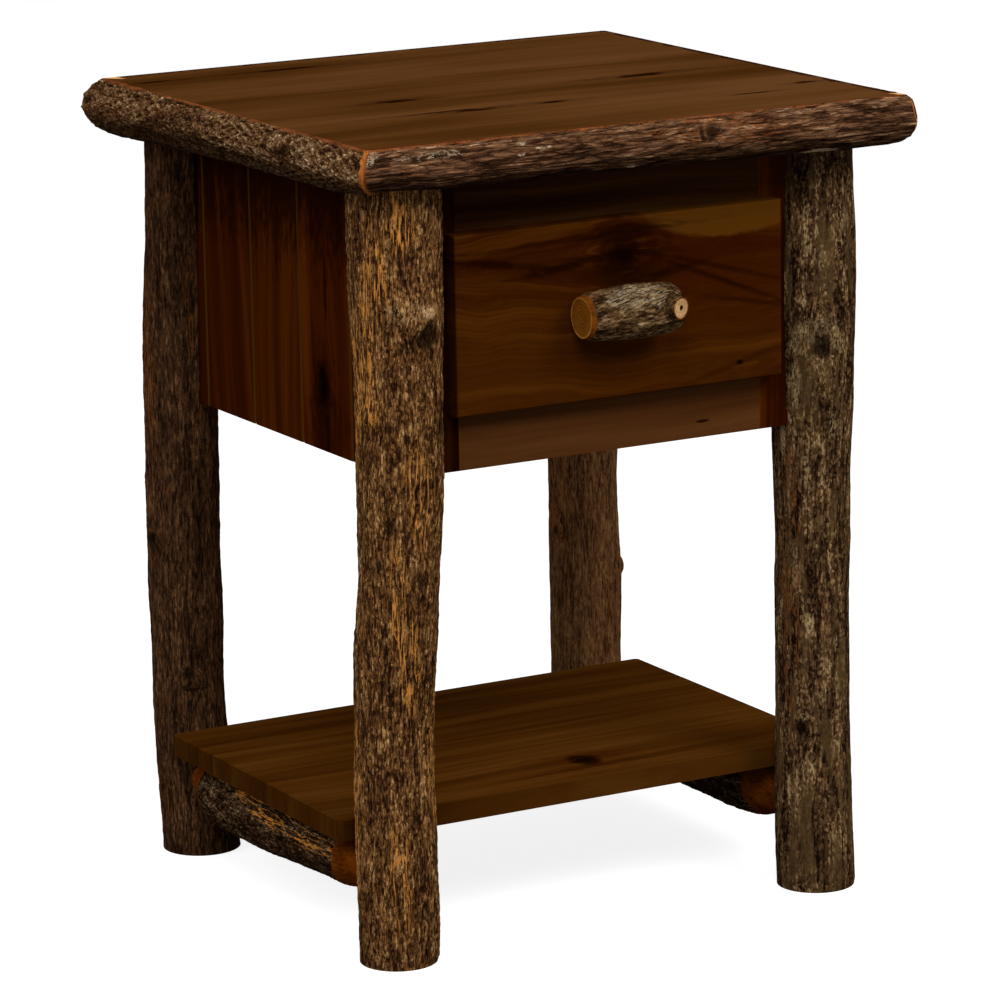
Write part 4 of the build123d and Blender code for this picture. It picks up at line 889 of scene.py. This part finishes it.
def edging(name, materials):
    """One mitred half log: bark outside, sawn flat on top, shaved along both mitres."""
    node = "edging_" + name
    along, across = (0, 1) if name in ("front", "rear") else (1, 0)
    sign = -1 if name in ("front", "left") else 1
    inner, half_run = (PLANK_Y, PLANK_X) if along == 0 else (PLANK_X, PLANK_Y)
    corners = [v.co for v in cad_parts[node].data.vertices if v.co.z > TOP_Z - 0.01 * MM]
    bark_edge = max(sign * corner[across] for corner in corners)
    axis_out, axis_z = inner + EDGE_AXIS_OUT, TOP_Z - EDGE_AXIS_DOWN
    line, side = Vector((0, 0, 0)), Vector((0, 0, 0))
    line[along], side[across] = 1, sign
    arris_turn = np.arctan2(TOP_Z - axis_z, bark_edge - axis_out)
    turns = np.linspace(arris_turn, -pi / 2, EDGE_COARSE[1])
    stations = np.linspace(-half_run + EDGE_INSET, half_run - EDGE_INSET, EDGE_COARSE[0])
    felt = turns.copy()
    felt[0] -= 0.004  # the first ray passes just under the arris
    coarse = skin_radii(node, side * axis_out + Z_WAY * axis_z, line, side, Z_WAY, stations, felt, EDGE_REACH)
    coarse = fill(coarse, low_share=0.6, wrap=False)
    work = {**EDGE_PLAIN, **EDGE_WORK[name]}
    below = smoothstep(-turns, -0.3, 0.9)
    above = smoothstep(turns, 0.2, 1.0)
    gone = end_loss(stations, half_run, work["trim"]) + end_loss(stations, half_run, work["belly"]) * below
    gone = gone - end_loss(stations, half_run, work["flare"]) * above
    coarse = coarse - gone * MM
    rim_width = work["rim"] * MM
    rows, columns = EDGE_SHAPE
    turns = np.linspace(arris_turn, -pi / 2, columns)
    fine = refine(coarse, (len(stations), columns), False)
    girth = float(fine.mean()) * (arris_turn + pi / 2) / MM
    size = (2 * half_run / MM, 2 * girth)
    lift, sheets = bark_sheet(shape=(rows, 2 * columns), size=size, **EDGE_BARK[name])
    sheets = {key: values[:, :columns] for key, values in sheets.items()}
    under = smoothstep(-turns, 0.0, 1.3)
    calm = smoothstep(np.arange(columns), 0, 4) * (1 - 0.6 * smoothstep(-turns, 0.6, 1.2))
    lift = lift[:, :columns] * calm - EDGE_UNDERCUT * under
    # painted shade: the underside of the log is darkened, less where the bark is pale
    gloom = 0.9 * smoothstep(-turns, *work["shade"])
    sheets["dark"] = np.maximum(sheets["dark"], gloom * (1 - 0.8 * sheets["pale"]))

    def radius_at(place):
        """The log's radius at each column, where column j lies at place[j] along the log."""
        return np.array([np.interp(place[j], stations, fine[:, j]) for j in range(columns)])

    def ring(radius, rim):
        """One closed row of points, not yet placed along the log, and how far out each one is.

        It holds the bark, the inner face, the sawn top and the rim of inner bark."""
        out = axis_out + radius * np.cos(turns)
        up = np.minimum(axis_z + radius * np.sin(turns), TOP_Z)
        up[0] = TOP_Z
        out = np.concatenate([out, [inner, inner, out[0] - rim]])
        points = np.zeros((len(out), 3))
        points[:, across] = sign * out
        points[:, 2] = np.concatenate([up, [up[-1], TOP_Z, TOP_Z]])
        return points, out

    ends = {}
    for end in (-1, 1):
        _, out = ring(radius_at(np.full(columns, end * half_run)), rim_width)
        ends[end] = half_run + out - inner
    peels = {end: (width * MM, kind) for end, (width, kind) in zip((-1, 1), work["peel"])}
    rng = np.random.default_rng(EDGE_BARK[name]["seed"] + 1)
    uneven = field(rng, (rows, 4), (2 * half_run / MM, 4.0), 4.0, 1.0)[:, 0]
    grid = []
    for i in range(rows):
        share = i / (rows - 1)
        place = -(ends[-1] - peels[-1][0]) * (1 - share) + (ends[1] - peels[1][0]) * share
        points, _ = ring(radius_at(place[:columns]) + lift[i], rim_width * (1 + 0.25 * uneven[i]))
        points[:, along] = place
        grid.append(points)
    for end in (-1, 1):
        wedge = []
        peel = peels[end][0]
        end_radius = radius_at(np.full(columns, end * half_run))
        for step in range(PEEL_ROWS):
            share = step / (PEEL_ROWS - 1)
            depth = min(BARK_STEP, peel / 2) * (1 - share) + min(0.45 * peel, PEEL_DEPTH) * share
            points, out = ring(end_radius - depth - EDGE_UNDERCUT * under, rim_width * (1 + share))
            start = ends[end] - peel
            points[:, along] = end * (start + (half_run + out - inner - start) * share)
            wedge.append(points)
        grid = wedge[::-1] + grid if end < 0 else grid + wedge
    grid = np.array(grid)
    total, width = grid.shape[:2]
    padded = {}
    for key, values in sheets.items():
        padded[key] = np.full((total, width), plain_level(key))
        padded[key][PEEL_ROWS:PEEL_ROWS + rows, :columns] = values
    kinds = np.full((total - 1, width), BARK)
    spread = np.interp(np.arange(total - 1), PEEL_ROWS + np.arange(rows), uneven)
    kinds[np.arange(width)[None] < (work["bare"] * (1 + 0.7 * spread))[:, None]] = RIM_BARK
    kinds[:, columns:] = (SHAVED, SAWN, RIM_BARK)
    for column, fresh_rows in zip((columns + 1, columns + 2), work["fresh"]):
        kinds[:fresh_rows, column] = FRESH
    kinds[:PEEL_ROWS, :columns] = peels[-1][1]
    kinds[-PEEL_ROWS:, :columns] = peels[1][1]
    if peels[-1][1] == RIM_BARK:
        kinds[:PEEL_ROWS // 2, :columns] = SHAVED
    skin = Skin()
    skin.tube(grid, padded, kinds, work["cap"])
    skin.piece(node + "_log", "table", materials, node)


# ---------------- stretchers

STRETCHER_SHAPE = (300, 150)
STRETCHER_COARSE = (120, 96)
STRETCHER_RADIUS = 29.5 * MM
SHELF_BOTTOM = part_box("shelf_board_1")[0].z
FLAT_CUT = 0.6 * MM  # a stretcher's axis lies this far above the middle of its cut section
SCALLOP = 2.2 * MM  # how far the edge of its bark wanders
PEELED_END = 74.5 * MM  # tenon and pared point at each end of a stretcher
STRETCHER_BARK = {"left": dict(seed=71, pale=0.3), "right": dict(seed=73, pale=0.15)}


def stretcher(name, materials):
    """A log under the shelf: bark in the middle, pared points and tenons at both ends."""
    node = "stretcher_" + name
    low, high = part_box(node)
    axis = Vector(((low.x + high.x) / 2, 0, (low.z + SHELF_BOTTOM) / 2 + FLAT_CUT))
    felt = np.linspace(low.y + END_MARGIN, high.y - END_MARGIN, STRETCHER_COARSE[0])
    coarse = skin_radii(node, axis, Y_WAY, X_WAY, Z_WAY, felt, circle(STRETCHER_COARSE[1]), EDGE_REACH)
    coarse = fill(coarse)
    rows, columns = STRETCHER_SHAPE
    girth = 2 * pi * STRETCHER_RADIUS / MM
    size = ((high.y - low.y) / MM, girth)
    lift, sheets = bark_sheet(shape=STRETCHER_SHAPE, size=size, warm=0.15, **STRETCHER_BARK[name])
    rng = np.random.default_rng(STRETCHER_BARK[name]["seed"] + 1)
    scallop = field(rng, (2, columns), (8.0, girth), 2.0, 9.0) * SCALLOP
    places = np.linspace(low.y, high.y, rows)[:, None]
    inside = np.minimum(places - low.y - PEELED_END - scallop[0], high.y - PEELED_END - places - scallop[1])
    cover = smoothstep(inside, 0.0, 1.6 * MM)
    radii = refine(coarse, STRETCHER_SHAPE, True) + (lift + 0.4 * MM) * cover
    turns = circle(columns)
    points = np.stack([axis.x + radii * np.cos(turns), np.broadcast_to(places, STRETCHER_SHAPE),
                       np.minimum(axis.z + radii * np.sin(turns), SHELF_BOTTOM)], axis=-1)
    skin = Skin()
    skin.tube(points, sheets, np.where(inside[:-1] > 0, 0, 1), 1)
    skin.piece(node + "_log", "table", materials, node)


# ---------------- pull

PULL_SHAPE = (150, 170)
PULL_COARSE = (90, 120)
PULL_AXIS_OUT = 21.5 * MM  # pull's axis, in front of the drawer front
PULL_REACH = 50 * MM
PULL_BEVEL = 4.2 * MM
PULL_RADIUS = 23.5 * MM
PULL_SLIM = 0.955  # over the solid's radius
PULL_FACE_SHRINK = 0.104  # at the cut left face, fading out over PULL_NECK
PULL_NECK = 24.0 * MM
PULL_BEND = 10.0 * MM  # right of this place the branch is shorter by PULL_SQUEEZE
PULL_SQUEEZE = 0.74
TWIG_CENTRE = Vector((23.0, 0, 3.0)) * MM
TWIG_ANGLE = radians(18.0)
TWIG_REACH = 25.4 * MM
TWIG_RADIUS = 10.2 * MM
TWIG_COLUMNS = 60
# The twig's outline from its root to the middle of its cut face: mm along it, and share of its radius.
TWIG_PROFILE = [(-14, 1.35), (-8, 1.2), (-4, 1.08), (-1.5, 1.03), (-0.5, 1.0), (0, 0.94), (0, 0.82)]
FRONT_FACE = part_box("drawer_front")[0].y
PULL_CENTRE = Vector((0, FRONT_FACE - PULL_AXIS_OUT, sum(corner.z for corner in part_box("drawer_front")) / 2))
TWIG_WAY = Vector((sin(TWIG_ANGLE), -cos(TWIG_ANGLE), 0))
TWIG_TIP = PULL_CENTRE + TWIG_CENTRE + TWIG_WAY * TWIG_REACH
PULL_MARKS = {"dark": [(104, 110, 7, 90, 1), (92, 75, 16, 16, 0.5)], "pale": [(46, 50, 38, 20, 0.95)]}


def pull_body(skin):
    """The branch itself, with its bark on, bevelled bare at its left end."""
    low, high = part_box("drawer_pull")
    felt = np.linspace(low.x + END_MARGIN, high.x - END_MARGIN, PULL_COARSE[0])
    coarse = skin_radii("drawer_pull", PULL_CENTRE, X_WAY, Y_WAY, Z_WAY, felt, circle(PULL_COARSE[1]),
                        PULL_REACH, lean=0.9)
    coarse[coarse > 1.04 * PULL_RADIUS] = np.nan  # the solid's own twig
    coarse = fill(coarse, low_share=0.5)
    rows, columns = PULL_SHAPE
    girth = 2 * pi * PULL_RADIUS / MM
    size = ((high.x - low.x) / MM, girth)
    lift, sheets = bark_sheet(83, PULL_SHAPE, size, ridge=1.1, run=7, rough=0.3, lumps=0.15, marks=PULL_MARKS)
    places = np.linspace(low.x, high.x, rows)[:, None]
    ragged = field(np.random.default_rng(84), (2, columns), (4.0, girth), 1, 6)[0] * 0.5 * MM
    inside = places - low.x - PULL_BEVEL + ragged
    cover = smoothstep(inside, 0.0, 1.0 * MM) * smoothstep(high.x - places, 0.0, 3 * MM)
    slim = PULL_SLIM - PULL_FACE_SHRINK * (1 - smoothstep(places - low.x, 0.0, PULL_NECK))
    radii = refine(coarse, PULL_SHAPE, True) * slim + lift * cover
    turns = circle(columns)
    places = np.where(places > PULL_BEND, PULL_BEND + (places - PULL_BEND) * PULL_SQUEEZE, places)
    points = np.stack([np.broadcast_to(places, PULL_SHAPE),
                       np.minimum(PULL_CENTRE.y + radii * np.cos(turns), FRONT_FACE),
                       PULL_CENTRE.z + radii * np.sin(turns)], axis=-1)
    skin.tube(points, sheets, np.where(inside[:-1] > 0, 0, 1), 2)


def twig_stub(skin):
    """The cut twig near the right end: a ring of bark round a pale face with a dark pith."""
    level = TWIG_WAY.cross(Z_WAY).normalized()
    rows = []
    for depth, factor in TWIG_PROFILE:
        centre = TWIG_TIP + TWIG_WAY * depth * MM
        rows.append([
            list(centre + (level * cos(t) + Z_WAY * sin(t)) * TWIG_RADIUS * factor * (1 + 0.03 * sin(3 * t)))
            for t in circle(TWIG_COLUMNS)
        ])
    shape = (len(rows), TWIG_COLUMNS)
    sheets = {name: np.full(shape, 0.45 if name == "height" else 0.0) for name in SHEETS}
    kinds = np.zeros((len(rows) - 1, TWIG_COLUMNS), int)
    kinds[-1] = 1
    skin.tube(np.array(rows), sheets, kinds, 3)


# ---------------- build

top_wood = paint_boards()

log_end = bare_wood("log_end", rgb(96, 52, 20), rgb(168, 108, 54), "Z")
bark_rear = bark(
    "bark_rear", "Z", (rgb(30, 18, 10), rgb(54, 34, 20), rgb(86, 57, 34), rgb(130, 98, 66)),
    contrast=0.65, chip=(1.4, 5), fibre=(1.3, 16), strand=rgb(116, 62, 24),
)
LEG_MATERIALS = {
    "front_left": bark(
        "bark_front_left", "Z", (rgb(38, 22, 11), rgb(73, 46, 24), rgb(122, 84, 46), rgb(184, 146, 96)),
        contrast=0.8, chip=(1.6, 3.6), chips=0.5, fibre=(1.3, 11), strand=rgb(210, 140, 64),
        strand_width=0.06, lichen=rgb(206, 166, 118),
    ),
    "front_right": bark(
        "bark_front_right", "Z", (rgb(34, 21, 12), rgb(66, 44, 26), rgb(102, 76, 48), rgb(158, 130, 92)),
        contrast=0.8, chip=(1.8, 3.2), chips=0.6, fibre=(1.4, 10), bands=0.9, tint=rgb(80, 60, 35),
        strand=rgb(120, 72, 36), lichen=rgb(180, 152, 108),
    ),
    "rear_left": bark_rear,
    # painted light: this leg's bark is made like the rear bark with lighter tones, standing in for the light
    # that falls on it
    "rear_right": bark(
        "bark_rear_right", "Z", (rgb(56, 34, 19), rgb(92, 60, 34), rgb(122, 86, 52), rgb(162, 124, 82)),
        contrast=0.6, chip=(1.4, 5), fibre=(1.3, 16), strand=rgb(150, 84, 32),
    ),
}
for leg_corner, leg_bark in LEG_MATERIALS.items():
    leg(leg_corner, [leg_bark, log_end])

inner_bark = bare_wood("inner_bark", rgb(52, 25, 12), rgb(130, 72, 38), "Z")
dark_rim = bare_wood("dark_rim", rgb(34, 16, 7), rgb(60, 31, 14), "Z")
shaved = bare_wood("shaved_arris", rgb(96, 46, 14), rgb(166, 98, 42), "Z")
fresh_cut = bare_wood("fresh_cut", rgb(206, 142, 78), rgb(240, 186, 118), "Z")
EDGE_DARK = (rgb(38, 22, 12), rgb(76, 49, 31), rgb(120, 85, 58), rgb(186, 152, 118))
EDGE_LIGHT = (rgb(42, 25, 13), rgb(92, 61, 35), rgb(138, 106, 72), rgb(204, 182, 148))
# Each log's axis, the length of its bark's features in mm, its tones and its rim.
EDGE_MATERIALS = {
    "front": ("X", 28, EDGE_DARK, inner_bark),
    "rear": ("X", 12, EDGE_DARK, dark_rim),
    "left": ("Y", 5, EDGE_LIGHT, inner_bark),
    "right": ("Y", 7, EDGE_LIGHT, dark_rim),
}
for edge_name, (edge_along, edge_run, edge_tones, rim_wood) in EDGE_MATERIALS.items():
    edge_bark = bark(
        "bark_edging_" + edge_name, edge_along, edge_tones, contrast=0.66, chip=(1.8, 0.5 * edge_run),
        fibre=(1.6, edge_run), cracks=(4, 0.9 * edge_run), cracked=0.6, strand=rgb(126, 66, 28),
        strand_size=(2.6, 16), lichen=rgb(196, 168, 136),
    )
    edging(edge_name, [edge_bark, top_wood, rim_wood, shaved, fresh_cut])

stretcher_bark = bark(
    "bark_stretcher", "Y", (rgb(24, 14, 8), rgb(52, 33, 19), rgb(88, 64, 42), rgb(150, 128, 98)),
    contrast=0.8, cracked=0.7,
)
pared = bare_wood("pared_point", rgb(58, 22, 1), rgb(108, 54, 8), "Y")
for stretcher_name in STRETCHER_BARK:
    stretcher(stretcher_name, [stretcher_bark, pared])

pull_bark = bark(
    "bark_pull", "X", (rgb(34, 22, 11), rgb(68, 47, 27), rgb(110, 84, 55), rgb(170, 142, 106)),
    contrast=0.75, chip=(3, 6), fibre=(1.4, 12), slope=0.3, lichen=rgb(168, 148, 120), crust=(1.4, 11),
    crusted=(0.42, 0.62),
)
pull_bevel = bare_wood("pull_bevel", rgb(66, 30, 4), rgb(112, 60, 16), "X")
pull_cut = bare_wood("pull_cut", rgb(98, 52, 7), rgb(132, 80, 22), "X", PULL_CENTRE, pitch=3,
                     rim=(16.6, rgb(170, 116, 50)))
twig_cut = bare_wood("twig_cut", rgb(150, 112, 72), rgb(196, 156, 108), "Y", TWIG_TIP, pitch=2.6,
                     rim=(8.6, rgb(120, 60, 24)), pith=(2.1, rgb(44, 20, 8)))
pull_skin = Skin()
pull_body(pull_skin)
twig_stub(pull_skin)
pull_materials = [pull_bark, pull_bevel, pull_cut, twig_cut]
pull_skin.piece("drawer_pull_branch", "drawer", pull_materials, "drawer_pull")

zinc = metal("zinc", (0.62, 0.63, 0.66), 0.3)
for node_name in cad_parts:
    if node_name.endswith("screws") or node_name.startswith("slide_") and "block" not in node_name:
        paint(node_name, zinc)

# ---------------- stage, light and camera

FLOOR = 40.0  # half its side
FLOOR_GLOW = 0.85  # what the floor gives off by itself where the camera looks
AMBIENT = 0.38  # strength of the world's light on the object
TARGET = (0, 0, 0.4)  # what the lamps point at


def backdrop_rays(graph):
    """1 for the rays that should find a white background."""
    paths = graph.node("LightPath")
    kinds = ("Is Camera Ray", "Is Glossy Ray", "Is Transmission Ray")
    camera, glossy, transmission = [Value(graph, paths.outputs[kind]) for kind in kinds]
    return graph.math("MAXIMUM", graph.math("MAXIMUM", camera, glossy), transmission)


def make_floor():
    """White where the camera looks, apart from the object's shadow, and a duller floor to all else."""
    graph = new_graph("floor_white")
    seen = backdrop_rays(graph)
    diffuse = graph.node("BsdfDiffuse", {"Color": graph.mix(seen, (0.25,) * 3, (0.35,) * 3)})
    glow = graph.node("Emission", {"Color": (1, 1, 1), "Strength": seen * FLOOR_GLOW})
    both = {order: Value(graph, shader.outputs[0]) for order, shader in enumerate((diffuse, glow))}
    mesh = bpy.data.meshes.new("floor")
    corners = [(-FLOOR, -FLOOR, 0), (FLOOR, -FLOOR, 0), (FLOOR, FLOOR, 0), (-FLOOR, FLOOR, 0)]
    mesh.from_pydata(corners, [], [(0, 1, 2, 3)])
    mesh.materials.append(graph.output("Material", graph.node("AddShader", both)))
    floor = add_object("floor", mesh)


def make_world():
    """A white backdrop to the camera and to reflections, and a soft even light to the rest."""
    graph = Graph(bpy.data.worlds.new("studio"))
    strength = backdrop_rays(graph) * (1 - AMBIENT) + AMBIENT
    background = graph.node("Background", {"Color": (1, 1, 1), "Strength": strength})
    bpy.context.scene.world = graph.output("World", background)


def softbox(name, place, size, power):
    """A square lamp that points at TARGET."""
    lamp = bpy.data.lights.new(name, "AREA")
    lamp.size = size
    lamp.energy = power
    made = add_object(name, lamp)
    made.location = place
    made.rotation_mode = "QUATERNION"
    made.rotation_quaternion = (Vector(TARGET) - Vector(place)).to_track_quat("-Z", "Y")


make_floor()
make_world()
softbox("key_left", (-1.6, -2.6, 3.2), 1.8, 84)
softbox("key_right", (1.4, -2.8, 3.2), 1.8, 95)
softbox("side", (-2.8, 0.2, 1.8), 1.6, 31)

# The camera: turned to its right from the +Y axis, looking slightly down, with a small roll.
CAMERA_PLACE = (-2.1361, -3.8377, 1.3544)
CAMERA_YAW = radians(29.077)
CAMERA_PITCH = radians(12.999)
CAMERA_ROLL = radians(-1.089)
CAMERA_LENS = 182.45
CAMERA_SENSOR = 36.0


def make_camera():
    data = bpy.data.cameras.new("camera")
    data.lens = CAMERA_LENS
    data.sensor_width = CAMERA_SENSOR
    camera = add_object("camera", data)
    ahead = cos(CAMERA_PITCH)
    forward = Vector((sin(CAMERA_YAW) * ahead, cos(CAMERA_YAW) * ahead, -sin(CAMERA_PITCH)))
    level = Vector((cos(CAMERA_YAW), -sin(CAMERA_YAW), 0))
    upright = level.cross(forward)
    right = level * cos(CAMERA_ROLL) + upright * sin(CAMERA_ROLL)
    up = upright * cos(CAMERA_ROLL) - level * sin(CAMERA_ROLL)
    turn = Matrix((right, up, -forward)).transposed()
    camera.matrix_world = Matrix.Translation(CAMERA_PLACE) @ turn.to_4x4()
    bpy.context.scene.camera = camera


make_camera()
bpy.context.scene.view_settings.view_transform = "Standard"
